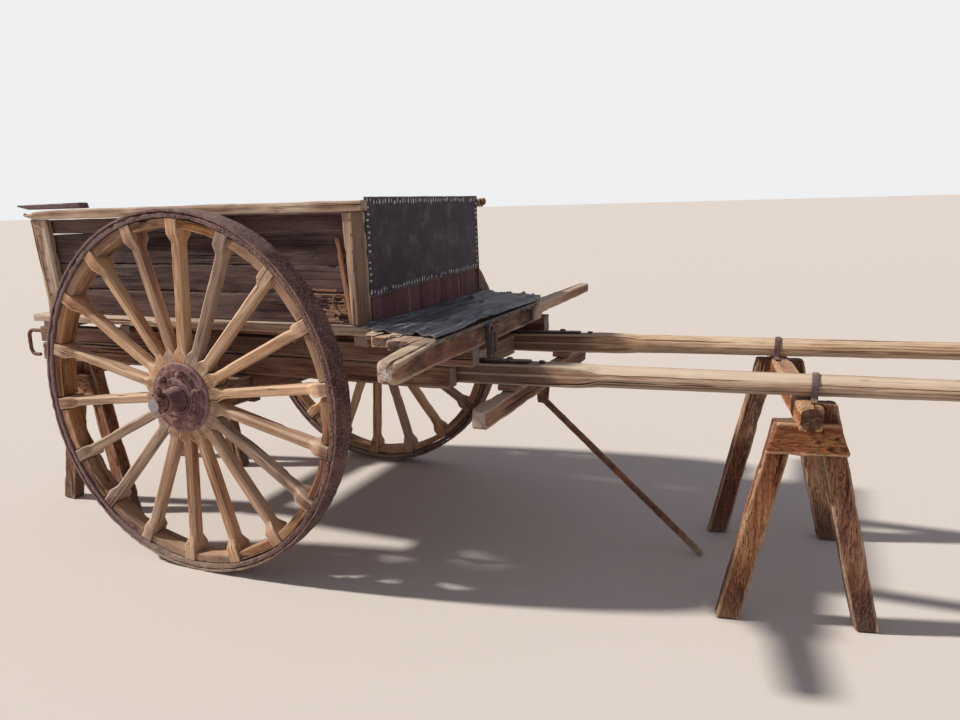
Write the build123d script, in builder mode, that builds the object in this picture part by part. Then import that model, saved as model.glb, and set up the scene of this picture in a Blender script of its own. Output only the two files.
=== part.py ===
from build123d import *
from math import atan2, cos, hypot, radians, sin, sqrt, tan
import os

# A two-wheeled ore cart with a wooden box, a driver's platform and two shafts, parked on two wooden
# trestles. Millimetres. +X is forward along the shafts, +Y is the cart's left side, +Z is up.
# The ground is at z = 0. Distances along the cart are counted from the axle.

# Overall
tyre_radius = 800
shaft_reach = 3440
frame_outer = 500
wall_front = 797
wall_rear = 1080
fit = 0.3
board_gap = 2

# Wheels: distances along the axle are counted from the middle of the rim
tyre_width = 110
tyre_hoop = 14
tyre_edge = 3
lining_hoop = 24
lining_width = 104
felloe_depth = 46
felloe_width = 90
spoke_count = 18
spoke_phase = 6.5
head_width = 58
head_length = 64
head_taper = 36
head_axial = 97
stem_width = 42
stem_axial = 62
stem_chamfer = 9
foot_inner = 96
foot_outer = 188
foot_taper = 26
foot_axial = 78
foot_shoulder = 10
flange_radius = 157
flange_thick = 14
flange_edge = 5
boss_width = 8
boss_height = 12
bolt_clear = 3
pipe_radius = 57
pipe_edge = 4
pipe_collar = 16
nose_end_radius = 45
nose_end = 145
nose_edge = 6
back_end = 110
hub_bolt_count = 6
hub_bolt_circle = 108
hub_bolt_radius = 8
bolt_head_radius = 19
bolt_head = 17

# Axle and the bed timber that it is let into
arm_radius = 32
arm_clearance = 0.1
arm_beyond_rim = 195
hub_play = 6
shoulder_radius = 44
shoulder_length = 49
axle_square = 56
bed_overhang = 140
bed_half = 75
bed_depth = 128
linchpin_radius = 7
linchpin_out = 160
linchpin_below = 9
linchpin_above = 41
linchpin_head = (30, 18, 22)
linchpin_head_rise = 19
clip_thick = 8
clip_width = 50
clip_foot = 62
clip_inset = 20

# Shafts: the underside rises towards the tips
shaft_y = 370
shaft_size = 92
shaft_drop = 13
shaft_corner = 8
shaft_root = 160
shaft_square_end = 1560
shaft_round_start = 1660
tip_length = 340
tip_radius = 38
shaft_rise = 0.0215
strip_start = 1010
strip_end = 1432
strip_width = 44
strip_thick = 10
strip_nut_radius = 16
strip_nut = 11
strip_bolts = (
    # x, height of its seat above the shaft
    (1340, strip_thick),
    (1480, fit),
)

# Frame
frame_height = 97
frame_front = 1120
frame_tail = 210
sill_height = 87
sill_front = 1228
joist_height = 46
joist_width = 70
joist_overhang = 100
joist_places = (-wall_rear - 5, -560, -60, 400, wall_front - 32)
bolster_width = 70
front_bolster_setback = 20
rear_bolster_setback = 10
floor_thick = 28
floor_board_count = 6
hook_radius = 11
hook_reach = 150
hook_drop = 34
hook_fall = 132
hook_curl = 70
hook_bend = 34

# Box
box_overhang = 68
plank_thick = 28
plank_heights = (122, 123, 140, 72)
rear_low_board = 164
front_board_joints = (-210, 101, 331)
front_board_inset = 30
front_board_drop = 3
ledge_thick = 42
ledge_overhang = 135
ledge_ahead = 48
ledge_behind = 70
post_thick = 40
batten_thick = 16
batten_height = 370
batten_foot = (-91, -72)
batten_head = (-140, -121)
rail_height = 48
rail_overhang = 57
rail_ahead = 23
rail_lift = 2
panel_thick = 8
panel_height = 384
panel_skew = 27
panel_over_rail = 11
panel_play = 1
knob_radius = 19
knob_length = 22
knob_round = 10
knob_inset = 30
knob_rise = 28

# Platform
bearer_height = 50
bearer_width = 60
bearer_places = (880, 1120)
platform_board = 42
platform_far = 560
deck_near_ends = (-705, -835, -900)
sheet_thick = 6
sheet_behind = 6
sheet_ahead = 4

# Front cross beam
beam_back = 1165
beam_front = 1250
beam_half_length = 1235
beam_step = 300
beam_step_run = 38
far_arm_drop = 8
far_arm_lift = 28
far_arm_thin = 12
near_arm_root = -890
near_arm_swing = 48
near_arm_lift = 27
near_arm_foot = -870
near_end_cut = 22
mortise_y = (22, 164)
mortise_z = (12, 62)
mortise_depth = 30
stirrup_y = (-shaft_y - 38, -shaft_y - 6)
stirrup_thick = 8
stirrup_hang = 6
stirrup_reach = 55
stirrup_play = 2

# Lower cross timber and prop
lower_back = 1300
lower_front = 1371
lower_half_length = 700
lower_drop = 96
lower_height = 84
lower_notch = 14
lower_notch_beyond_shaft = 70
lower_chamfer = 6
packing_half = 38
packing_behind = 6
packing_ahead = 18
prop_x = 1340
prop_y = 50
prop_drop = 57
prop_foot_x = 2075
prop_size = 28
prop_eye_radius = 21
prop_eye_width = 24
prop_pin_radius = 9
prop_pin_end = 8
bracket_plate = 8
bracket_half = 42
bracket_behind = 3
bracket_ahead = 1
cheek_gap = 34
cheek_thick = 7
cheek_top_half = 28
cheek_low_half = 20
cheek_below_pin = 16

# Trestles
bar_width = 88
bar_height = 95
bar_half_length = 510
bar_corner = 16
seat_open = 100
leg_frame_y = 403
leg_width = 92
leg_depth = 76
leg_spread_foot = 246
leg_spread_top = 52
collar_thick = 25
collar_height = 112
collar_lap = 20
collar_draw = 14
front_trestle_x = 2420
front_trestle_skew = 9
front_leg_drops = ((76, 6), (10, 14))
rear_trestle_ahead = 5
rear_trestle_skew = -5
rear_leg_drops = ((20, 8), (12, 24))
strap_width = 25
strap_thick = 5
strap_foot = 44
strap_places = (
    # side, x beyond the front trestle's middle
    (-1, 86),
    (1, -72),
)

# Lengths and widths that follow
frame_rear = wall_rear + frame_tail
rear_reach = frame_rear + hook_reach
axle_x = (rear_reach - shaft_reach) / 2
frame_inner = shaft_y + shaft_size / 2 + fit
box_half_width = frame_outer + box_overhang
ledge_outer = frame_outer + ledge_overhang
rail_outer = box_half_width + rail_overhang
rail_front = wall_front + rail_ahead
joist_half_length = frame_outer + joist_overhang
bed_end = frame_outer + bed_overhang
shoulder_y = bed_end + shoulder_length
wheel_y = shoulder_y + hub_play + back_end
shaft_half = shaft_size / 2
shaft_neck = shaft_reach - tip_length
rim_inner = tyre_radius - tyre_hoop - lining_hoop

# Heights that follow from the stack of timbers on the axle
hub_z = tyre_radius
frame_bottom = hub_z + axle_square / 2
frame_top = frame_bottom + frame_height
sill_top = frame_top + sill_height
joist_top = sill_top + joist_height
floor_top = joist_top + floor_thick
ledge_top = joist_top + ledge_thick
planks_top = ledge_top + sum(plank_heights) + board_gap * (len(plank_heights) - 1)
rail_bottom = planks_top + rail_lift
rail_top = rail_bottom + rail_height
deck_top = sill_top + bearer_height + platform_board
bed_bottom = frame_bottom - bed_depth
shaft_bottom = frame_bottom - shaft_drop
lower_bottom = frame_bottom - lower_drop
lower_top = lower_bottom + lower_height
prop_z = lower_bottom - prop_drop
shaft_pitch = atan2(shaft_rise, 1)
shaft_forward = (cos(shaft_pitch), 0, sin(shaft_pitch))
shaft_upward = (-sin(shaft_pitch), 0, cos(shaft_pitch))

os.makedirs("parts", exist_ok=True)


def shaft_middle(x):
    """Height of the middle of the shafts at a distance from the axle."""
    return shaft_bottom + shaft_rise * x + shaft_half


def shaft_radius(x):
    """Half the thickness of the shafts, which taper from where they are round to the neck of the tip."""
    taper = (x - shaft_round_start) / (shaft_neck - shaft_round_start)
    return shaft_half - (shaft_half - tip_radius) * min(max(taper, 0), 1)


def shaft_underside(x):
    """Height of the underside of the shafts at a distance from the axle."""
    return shaft_middle(x) - shaft_radius(x)


def shaft_plane(side, x, height=0.0):
    """The plane square to a shaft at a distance from the axle, a height above the shaft's middle."""
    return Plane((axle_x + x, side * shaft_y, shaft_middle(x) + height), x_dir=(0, 1, 0), z_dir=shaft_forward)


def board(x, y, z, mode=Mode.ADD):
    """A square timber between two places along each axis, with x counted from the axle."""
    with Locations((axle_x + sum(x) / 2, sum(y) / 2, sum(z) / 2)):
        Box(x[1] - x[0], y[1] - y[0], z[1] - z[0], mode=mode)


def both_sides(inner, outer):
    """The y range of a piece on the right and of its twin on the left."""
    return (-outer, -inner), (inner, outer)


def side_slab(points, y, mode=Mode.ADD):
    """A timber with a straight-sided outline of (x from the axle, z), between two places along y."""
    with BuildSketch(Plane.XZ.offset(-y[1])) as outline:
        with BuildLine():
            Polyline(*[(axle_x + px, pz) for px, pz in points], close=True)
        make_face()
    extrude(outline.sketch, amount=y[1] - y[0], mode=mode)


def finish(part, name):
    """Labels one sub-part and writes its file."""
    part.label = name
    export_step(part, f"parts/{name}.step")


# Box: side planks
for side_name, y in zip(("right", "left"), both_sides(box_half_width - plank_thick, box_half_width)):
    with BuildPart() as side_planks:
        z = ledge_top
        for height in plank_heights:
            board((-wall_rear, wall_front), y, (z, z + height))
            z += height + board_gap
    finish(side_planks.part, f"side_planks_{side_name}")

# Box: front wall, rear wall and floor, with the end walls notched over the ledges
front_board_end = box_half_width - front_board_inset
front_board_edges = (-front_board_end, *front_board_joints, front_board_end)
with BuildPart() as front_wall:
    for low, high in zip(front_board_edges, front_board_edges[1:]):
        board((wall_front - plank_thick, wall_front), (low + board_gap / 2, high - board_gap / 2),
              (joist_top, rail_top - front_board_drop))
    for y in both_sides(frame_outer - fit, ledge_outer):
        board((wall_front - plank_thick, wall_front), y, (joist_top, ledge_top + fit), mode=Mode.SUBTRACT)
finish(front_wall.part, "front_wall_boards")

with BuildPart() as rear_wall:
    z = joist_top
    for height in (rear_low_board,) + plank_heights[1:]:
        board((-wall_rear - plank_thick, -wall_rear), (-box_half_width, box_half_width), (z, z + height))
        z += height + board_gap
    for y in both_sides(frame_outer - fit, ledge_outer):
        board((-wall_rear - plank_thick, -wall_rear), y, (joist_top, ledge_top + fit), mode=Mode.SUBTRACT)
finish(rear_wall.part, "rear_wall_boards")

floor_half = frame_outer - board_gap
floor_pitch = 2 * floor_half / floor_board_count
with BuildPart() as floor:
    for index in range(floor_board_count):
        low = -floor_half + index * floor_pitch
        board((-wall_rear, wall_front - plank_thick - fit),
              (low + board_gap / 2, low + floor_pitch - board_gap / 2), (joist_top, floor_top))
finish(floor.part, "floor_boards")

# Dark board in front of the front wall, bare, with its lower edge out of level
panel_top = rail_top + panel_over_rail
panel_foot = panel_top - panel_height
with BuildPart() as panel:
    with BuildSketch(Plane.YZ.offset(axle_x + wall_front)):
        with BuildLine():
            Polyline((-box_half_width, panel_top), (-box_half_width, panel_foot - panel_skew),
                     (box_half_width, panel_foot), (box_half_width, panel_top), close=True)
        make_face()
    extrude(amount=panel_thick)
finish(panel.part, "front_panel")

# Corner posts: they lean, and the front ones have their outer front corner hewn off
post_table = (
    # wall that the post stands at, then distances ahead of it, then the size of the hewn corner
    # wall, foot_back, foot_front, head_back, head_front, hewn_along, hewn_across
    (wall_front, -63, 11, -85, 7, 52, 34),
    (-wall_rear, 34, 132, -24, 80, 14, 8),
)
with BuildPart() as posts:
    for side in (-1, 1):
        inner = side * (box_half_width + fit)
        outer = side * (box_half_width + post_thick)
        for wall, foot_back, foot_front, head_back, head_front, hewn_along, hewn_across in post_table:
            for z, back, front in ((ledge_top, foot_back, foot_front), (rail_bottom, head_back, head_front)):
                post_back = axle_x + wall + back
                post_front = axle_x + wall + front
                with BuildSketch(Plane.XY.offset(z)):
                    with BuildLine():
                        Polyline((post_back, inner), (post_back, outer), (post_front - hewn_along, outer),
                                 (post_front, outer - side * hewn_across), (post_front, inner), close=True)
                    make_face()
            loft()
finish(posts.part, "corner_posts")

# Thin battens that lean behind the front posts
batten_top = ledge_top + batten_height
with BuildPart() as battens:
    for y in both_sides(box_half_width + fit, box_half_width + batten_thick):
        side_slab(((wall_front + batten_foot[0], ledge_top), (wall_front + batten_foot[1], ledge_top),
                   (wall_front + batten_head[1], batten_top), (wall_front + batten_head[0], batten_top)), y)
finish(battens.part, "side_battens")

# Top rails, with a splintered rear end and a seat cut for the front panel
rail_tail = (
    # distance ahead of the rear wall, height above the rail's underside
    (220, rail_height), (20, rail_height - 8), (-60, 24), (-60, 18), (10, 0),
)
with BuildPart() as rails:
    for y in both_sides(box_half_width - plank_thick, rail_outer):
        side_slab(((rail_front, rail_bottom), (rail_front, rail_top),
                   *[(ahead - wall_rear, rail_bottom + height) for ahead, height in rail_tail]), y)
    board((wall_front, rail_front), (-box_half_width - panel_play, box_half_width + panel_play),
          (rail_bottom, rail_top), mode=Mode.SUBTRACT)
finish(rails.part, "top_rails")

# Wedge-shaped bar that lies on the near rail's rear end
rail_bar_outline = (
    # distance ahead of the rear wall, height above the rail
    (-98, 16), (-98, 24), (335, 28), (345, fit), (-20, fit),
)
with BuildPart() as rail_bar:
    side_slab([(ahead - wall_rear, rail_top + height) for ahead, height in rail_bar_outline],
              (-box_half_width - 44, -box_half_width + 8))
finish(rail_bar.part, "rail_bar")

with BuildPart() as knob:
    with BuildSketch(Plane.YZ.offset(axle_x + rail_front)):
        with Locations((rail_outer - knob_inset, rail_bottom + knob_rise)):
            Circle(knob_radius)
    extrude(amount=knob_length)
    fillet(knob.faces().sort_by(Axis.X)[-1].edges(), knob_round)
finish(knob.part, "rail_knob")

with BuildPart() as ledges:
    for y in both_sides(frame_outer, ledge_outer):
        board((-wall_rear - ledge_behind, wall_front + ledge_ahead), y, (joist_top, ledge_top))
finish(ledges.part, "sill_ledges")

# Frame
with BuildPart() as joists:
    for x in joist_places:
        board((x - joist_width / 2, x + joist_width / 2), (-joist_half_length, joist_half_length),
              (sill_top, joist_top))
finish(joists.part, "cross_joists")

with BuildPart() as body_sills:
    for y in both_sides(frame_inner, frame_outer):
        board((-frame_rear, sill_front), y, (frame_top, sill_top))
finish(body_sills.part, "body_sills")

with BuildPart() as frame_beams:
    for y in both_sides(frame_inner, frame_outer):
        board((-frame_rear, frame_front), y, (frame_bottom, frame_top))
finish(frame_beams.part, "frame_beams")

bolster_table = (
    # front face, half length
    (frame_front - front_bolster_setback, shaft_y - shaft_half - fit),
    (-frame_rear + rear_bolster_setback + bolster_width, frame_inner - fit),
)
with BuildPart() as bolsters:
    for front, half_length in bolster_table:
        board((front - bolster_width, front), (-half_length, half_length), (frame_bottom, frame_top))
finish(bolsters.part, "cross_bolsters")

# Axle bed with the square of the axle let into its top
groove_half = axle_square / 2 + fit
with BuildPart() as bed:
    board((-bed_half, bed_half), (-bed_end, bed_end), (bed_bottom, frame_bottom))
    board((-groove_half, groove_half), (-bed_end, bed_end), (frame_bottom - axle_square - fit, frame_bottom),
          mode=Mode.SUBTRACT)
finish(bed.part, "axle_bed")

with BuildPart() as axle:
    board((-axle_square / 2, axle_square / 2), (-bed_end, bed_end),
          (frame_bottom - axle_square, frame_bottom - fit))
    for side in (-1, 1):
        for start, end, radius in ((bed_end, shoulder_y, shoulder_radius),
                                   (shoulder_y, wheel_y + arm_beyond_rim, arm_radius)):
            with BuildSketch(Plane((axle_x, side * start, hub_z), x_dir=(1, 0, 0), z_dir=(0, side, 0))):
                Circle(radius)
            extrude(amount=end - start)
        with Locations((axle_x, side * (wheel_y + linchpin_out), hub_z)):
            Cylinder(linchpin_radius + fit, 4 * arm_radius, mode=Mode.SUBTRACT)
finish(axle.part, "axle")

with BuildPart() as linchpins:
    for side in (-1, 1):
        with Locations((axle_x, side * (wheel_y + linchpin_out), hub_z - arm_radius - linchpin_below)):
            Cylinder(linchpin_radius, 2 * arm_radius + linchpin_below + linchpin_above,
                     align=(Align.CENTER, Align.CENTER, Align.MIN))
        with Locations((axle_x, side * (wheel_y + linchpin_out), hub_z + arm_radius + linchpin_head_rise)):
            Box(*linchpin_head)
finish(linchpins.part, "linchpins")

# Clips that hold the axle bed up to the frame beams: one half outline, mirrored
clip_half_outline = (
    # x from the axle, z
    (bed_half + clip_thick + clip_foot, frame_bottom - fit),
    (bed_half + clip_thick + clip_foot, frame_bottom - fit - clip_thick),
    (bed_half + clip_thick, frame_bottom - fit - clip_thick),
    (bed_half + clip_thick, bed_bottom - fit - clip_thick),
)
clip_other_half = [(-px, pz) for px, pz in reversed(clip_half_outline)]
clip_inside = ((-bed_half - fit, frame_bottom - fit), (-bed_half - fit, bed_bottom - fit),
               (bed_half + fit, bed_bottom - fit), (bed_half + fit, frame_bottom - fit))
with BuildPart() as clips:
    for y in both_sides(frame_outer - clip_inset - clip_width, frame_outer - clip_inset):
        side_slab((*clip_inside, *clip_half_outline, *clip_other_half), y)
finish(clips.part, "axle_clips")

# Platform: bearers, cross boards with uneven near ends, and a loose sheet on top
with BuildPart() as bearers:
    for x in bearer_places:
        board((x - bearer_width / 2, x + bearer_width / 2), (-joist_half_length, platform_far),
              (sill_top, sill_top + bearer_height))
finish(bearers.part, "platform_bearers")

deck_back = wall_front + ledge_ahead + board_gap
deck_pitch = (beam_back - deck_back) / len(deck_near_ends)
with BuildPart() as deck:
    for index, near in enumerate(deck_near_ends):
        back = deck_back + index * deck_pitch
        board((back, back + deck_pitch - board_gap), (near, platform_far),
              (sill_top + bearer_height, deck_top))
finish(deck.part, "platform_boards")

sheet_back = wall_front + panel_thick + sheet_behind
sheet_front = beam_front + sheet_ahead
sheet_outline = (
    # x from the axle, y
    (sheet_back, -662), (930, -762), (1200, -800), (sheet_front, -885), (sheet_front, 262), (1190, 430),
    (1080, 530), (960, 566), (sheet_back, 562),
)
with BuildPart() as sheet:
    with BuildSketch(Plane.XY.offset(deck_top + fit)):
        with BuildLine():
            Polyline(*[(axle_x + px, py) for px, py in sheet_outline], close=True)
        make_face()
    extrude(amount=sheet_thick)
finish(sheet.part, "platform_sheet")

# Front cross beam: a crooked timber, hewn thinner towards both ends, with a mortise in its front face
beam_bottom = sill_top + fit
far_arm_top = deck_top - far_arm_drop
far_arm_bottom = sill_top + far_arm_lift
beam_elevation = (
    # y, z
    (-beam_half_length, beam_bottom + near_arm_lift), (-beam_half_length, deck_top - near_end_cut),
    (-beam_half_length + near_end_cut, deck_top), (beam_step, deck_top),
    (beam_step + beam_step_run, far_arm_top), (beam_half_length, far_arm_top),
    (beam_half_length, far_arm_bottom), (beam_step + beam_step_run, far_arm_bottom),
    (beam_step, beam_bottom), (near_arm_foot, beam_bottom),
)
swing_front = beam_front + near_arm_swing
far_arm_root = beam_step + 50
beam_plan = (
    # x from the axle, y
    (beam_back + near_arm_swing, -beam_half_length), (swing_front - near_end_cut, -beam_half_length),
    (swing_front, -beam_half_length + near_end_cut), (beam_front, near_arm_root),
    (beam_front, far_arm_root), (beam_front - far_arm_thin, beam_half_length),
    (beam_back + far_arm_thin, beam_half_length), (beam_back, far_arm_root), (beam_back, near_arm_root),
)
with BuildPart() as front_beam:
    with BuildSketch(Plane.YZ.offset(axle_x + beam_back - near_arm_swing)):
        with BuildLine():
            Polyline(*beam_elevation, close=True)
        make_face()
    extrude(amount=swing_front - beam_back + 2 * near_arm_swing)
    with BuildSketch(Plane.XY.offset(beam_bottom)):
        with BuildLine():
            Polyline(*[(axle_x + px, py) for px, py in beam_plan], close=True)
        make_face()
    extrude(amount=deck_top - beam_bottom, mode=Mode.INTERSECT)
    board((beam_front - mortise_depth, beam_front), mortise_y,
          (beam_bottom + mortise_z[0], beam_bottom + mortise_z[1]), mode=Mode.SUBTRACT)
finish(front_beam.part, "front_beam")

# Shafts: square at the root, round towards the tips
for side_name, side in (("right", -1), ("left", 1)):
    with BuildPart() as shaft:
        with BuildSketch(shaft_plane(side, shaft_root)):
            RectangleRounded(shaft_size, shaft_size, shaft_corner)
        extrude(amount=(shaft_square_end - shaft_root) / cos(shaft_pitch))
        with BuildSketch(shaft_plane(side, shaft_square_end)):
            RectangleRounded(shaft_size, shaft_size, shaft_corner)
        with BuildSketch(shaft_plane(side, shaft_round_start)):
            RectangleRounded(shaft_size, shaft_size, shaft_half - fit)
        loft()
        with BuildSketch(shaft_plane(side, shaft_round_start)):
            Circle(shaft_half)
        with BuildSketch(shaft_plane(side, shaft_neck)):
            Circle(tip_radius)
        loft()
        with BuildSketch(shaft_plane(side, shaft_neck)):
            Circle(tip_radius)
        extrude(amount=tip_length + tip_radius)
        split(bisect_by=Plane.YZ.offset(axle_x + shaft_reach), keep=Keep.BOTTOM)
    finish(shaft.part, f"shaft_{side_name}")

# Iron strips on the shaft roots, with two square nuts each
with BuildPart() as strips:
    for side in (-1, 1):
        with BuildSketch(shaft_plane(side, strip_start, shaft_half + fit + strip_thick / 2)):
            Rectangle(strip_width, strip_thick)
        extrude(amount=strip_end - strip_start)
        for x, seat in strip_bolts:
            with BuildSketch(Plane((axle_x + x, side * shaft_y, shaft_middle(x) + shaft_half + seat),
                                   x_dir=shaft_forward, z_dir=shaft_upward)):
                RegularPolygon(strip_nut_radius, 4)
            extrude(amount=strip_nut)
finish(strips.part, "shaft_strips")

# Iron stirrup that ties the front beam to the near shaft
stirrup_foot = shaft_underside(beam_front) + shaft_size + strip_thick + stirrup_play
stirrup_back = beam_front + fit
with BuildPart() as stirrup:
    side_slab(((stirrup_back, deck_top - stirrup_hang),
               (stirrup_back + stirrup_thick, deck_top - stirrup_hang),
               (stirrup_back + stirrup_thick, stirrup_foot + stirrup_thick),
               (beam_front + stirrup_reach, stirrup_foot + stirrup_thick + 1),
               (beam_front + stirrup_reach, stirrup_foot + 1), (stirrup_back, stirrup_foot)), stirrup_y)
finish(stirrup.part, "beam_stirrup")

# Lower cross timber under the shafts, cut shallower between its ends, with a packing block under each shaft
notch_half = shaft_y + lower_notch_beyond_shaft
with BuildPart() as lower_timber:
    board((lower_back, lower_front), (-lower_half_length, lower_half_length), (lower_bottom, lower_top))
    board((lower_back, lower_front), (-notch_half, notch_half), (lower_bottom, lower_bottom + lower_notch),
          mode=Mode.SUBTRACT)
    chamfer(lower_timber.edges().filter_by(Axis.X).group_by(Axis.Y)[0], lower_chamfer)
finish(lower_timber.part, "lower_timber")

with BuildPart() as packing:
    for y in both_sides(shaft_y - packing_half, shaft_y + packing_half):
        side_slab(((lower_back - packing_behind, lower_top), (lower_front + packing_ahead, lower_top),
                   (lower_front + packing_ahead, shaft_underside(lower_front + packing_ahead) - fit),
                   (lower_back - packing_behind, shaft_underside(lower_back - packing_behind) - fit)), y)
finish(packing.part, "packing_blocks")

# Prop bracket: a plate under the timber with two cheeks and the pivot pin
bracket_top = lower_bottom + lower_notch
bracket_low = prop_z - cheek_below_pin
pin_half = cheek_gap / 2 + cheek_thick + prop_pin_end
with BuildPart() as bracket:
    board((lower_back + bracket_behind, lower_front - bracket_ahead),
          (prop_y - bracket_half, prop_y + bracket_half), (bracket_top - bracket_plate, bracket_top))
    for y in ((prop_y - cheek_gap / 2 - cheek_thick, prop_y - cheek_gap / 2),
              (prop_y + cheek_gap / 2, prop_y + cheek_gap / 2 + cheek_thick)):
        side_slab(((prop_x - cheek_top_half, bracket_top - bracket_plate / 2),
                   (prop_x + cheek_top_half, bracket_top - bracket_plate / 2),
                   (prop_x + cheek_low_half, bracket_low), (prop_x - cheek_low_half, bracket_low)), y)
    with BuildSketch(Plane.XZ.offset(-prop_y - pin_half)):
        with Locations((axle_x + prop_x, prop_z)):
            Circle(prop_pin_radius)
    extrude(amount=2 * pin_half)
finish(bracket.part, "prop_bracket")

# Prop rod, from the pivot down to the ground
prop_run = prop_foot_x - prop_x
prop_fall = prop_z - prop_size / 2
prop_length = hypot(prop_run, prop_fall)
prop_dir = (prop_run / prop_length, 0, -prop_fall / prop_length)
with BuildPart() as prop:
    with BuildSketch(Plane((axle_x + prop_x, prop_y, prop_z), x_dir=prop_dir, z_dir=(0, -1, 0))):
        with Locations((prop_length / 2, 0)):
            Rectangle(prop_length, prop_size)
        with Locations((prop_length, 0)):
            Circle(prop_size / 2)
        Circle(prop_eye_radius)
        Circle(prop_pin_radius + arm_clearance, mode=Mode.SUBTRACT)
    extrude(amount=prop_eye_width / 2, both=True)
finish(prop.part, "prop_rod")

# Rear hooks: a round bar that leaves the sill's end, turns down and curls forward
hook_back = rear_reach - hook_radius
hook_y = (frame_inner + frame_outer) / 2
hook_z = sill_top - hook_drop
with BuildPart() as hooks:
    for side in (-1, 1):
        with BuildLine() as hook_line:
            FilletPolyline((axle_x - frame_rear, side * hook_y, hook_z),
                           (axle_x - hook_back, side * hook_y, hook_z),
                           (axle_x - hook_back, side * hook_y, hook_z - hook_fall),
                           (axle_x - hook_back + hook_curl, side * hook_y, hook_z - hook_fall),
                           radius=hook_bend)
        with BuildSketch(Plane((axle_x - frame_rear, side * hook_y, hook_z), x_dir=(0, 1, 0),
                               z_dir=(-1, 0, 0))):
            Circle(hook_radius)
        sweep(path=hook_line.line)
finish(hooks.part, "rear_hooks")


def trestle(name, x, skew, top, leg_drops):
    """One sawhorse: a crossbar, four legs with a seat cut for it, and a collar board on each leg frame.

    leg_drops says how far each leg's head stays below the crossbar's top, right frame first, rear leg first.
    """
    base = Plane((axle_x + x, 0, 0), x_dir=(cos(radians(skew)), sin(radians(skew)), 0), z_dir=(0, 0, 1))
    bar_middle = top - bar_height / 2
    slope = (leg_spread_foot - leg_spread_top) / top

    def end_face(y):
        """The plane across the sawhorse at a place along its crossbar, x across and y up."""
        return Plane(base.from_local_coords(Vector(0, y, 0)), x_dir=base.x_dir, z_dir=-base.y_dir)

    with BuildPart() as bar:
        with BuildSketch(end_face(bar_half_length)):
            with Locations((0, bar_middle)):
                RectangleRounded(bar_width, bar_height, bar_corner)
        extrude(amount=2 * bar_half_length)
    finish(bar.part, f"{name}_bar")

    with BuildPart() as legs:
        for y, drops in zip((-leg_frame_y, leg_frame_y), leg_drops):
            for hand, drop in zip((-1, 1), drops):
                foot = hand * leg_spread_foot
                head = hand * (leg_spread_foot - slope * (top - drop))
                with BuildSketch(end_face(y + leg_depth / 2)):
                    with BuildLine():
                        Polyline((foot - leg_width / 2, 0), (foot + leg_width / 2, 0),
                                 (head + leg_width / 2, top - drop), (head - leg_width / 2, top - drop),
                                 close=True)
                    make_face()
                extrude(amount=leg_depth)
        with BuildSketch(end_face(bar_half_length)):
            with Locations((0, bar_middle + seat_open / 2)):
                Rectangle(bar_width + 2 * fit, bar_height + seat_open + 2 * fit)
        extrude(amount=2 * bar_half_length, mode=Mode.SUBTRACT)
    finish(legs.part, f"{name}_legs")

    collar_high = top - bar_height + collar_lap
    collar_low = collar_high - collar_height
    low_half = leg_spread_foot - slope * collar_low + leg_width / 2
    high_half = leg_spread_foot - slope * collar_high + leg_width / 2 - collar_draw
    collar_inner = leg_frame_y + leg_depth / 2 + fit
    with BuildPart() as collars:
        for y in both_sides(collar_inner, collar_inner + collar_thick):
            with BuildSketch(end_face(y[1])):
                with BuildLine():
                    Polyline((-low_half, collar_low), (low_half, collar_low), (high_half, collar_high),
                             (-high_half, collar_high), close=True)
                make_face()
            extrude(amount=collar_thick)
        with BuildSketch(end_face(bar_half_length)):
            with Locations((0, bar_middle)):
                Rectangle(bar_width + 2 * fit, bar_height + 2 * fit)
        extrude(amount=2 * bar_half_length, mode=Mode.SUBTRACT)
    finish(collars.part, f"{name}_collars")


front_skew_reach = shaft_y * sin(radians(front_trestle_skew))
front_bar_top = shaft_underside(front_trestle_x - front_skew_reach - bar_width / 2) - fit
trestle("front_trestle", front_trestle_x, front_trestle_skew, front_bar_top, front_leg_drops)
trestle("rear_trestle", rear_trestle_ahead - wall_rear, rear_trestle_skew, frame_bottom - fit, rear_leg_drops)

# Iron straps that tie the shafts to the front trestle's crossbar: an arch, two legs and two feet
with BuildPart() as straps:
    for side, x_beyond in strap_places:
        x = front_trestle_x + x_beyond
        middle = shaft_middle(x)
        inner = shaft_radius(x) + 2 * fit
        outer = inner + strap_thick
        rise = middle - front_bar_top
        with BuildSketch(Plane.YZ.offset(axle_x + x - strap_width / 2)):
            with Locations((side * shaft_y, middle)):
                Circle(outer)
            with Locations((side * shaft_y, front_bar_top + fit)):
                Rectangle(2 * outer, rise, align=(Align.CENTER, Align.MIN))
                Rectangle(2 * (outer + strap_foot), strap_thick, align=(Align.CENTER, Align.MIN))
            with Locations((side * shaft_y, middle)):
                Circle(inner, mode=Mode.SUBTRACT)
                Rectangle(2 * inner, 2 * rise, align=(Align.CENTER, Align.MAX), mode=Mode.SUBTRACT)
            with Locations((side * shaft_y, front_bar_top + fit)):
                Rectangle(2 * outer, rise, align=(Align.CENTER, Align.MAX), mode=Mode.SUBTRACT)
        extrude(amount=strap_width)
finish(straps.part, "trestle_straps")


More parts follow.
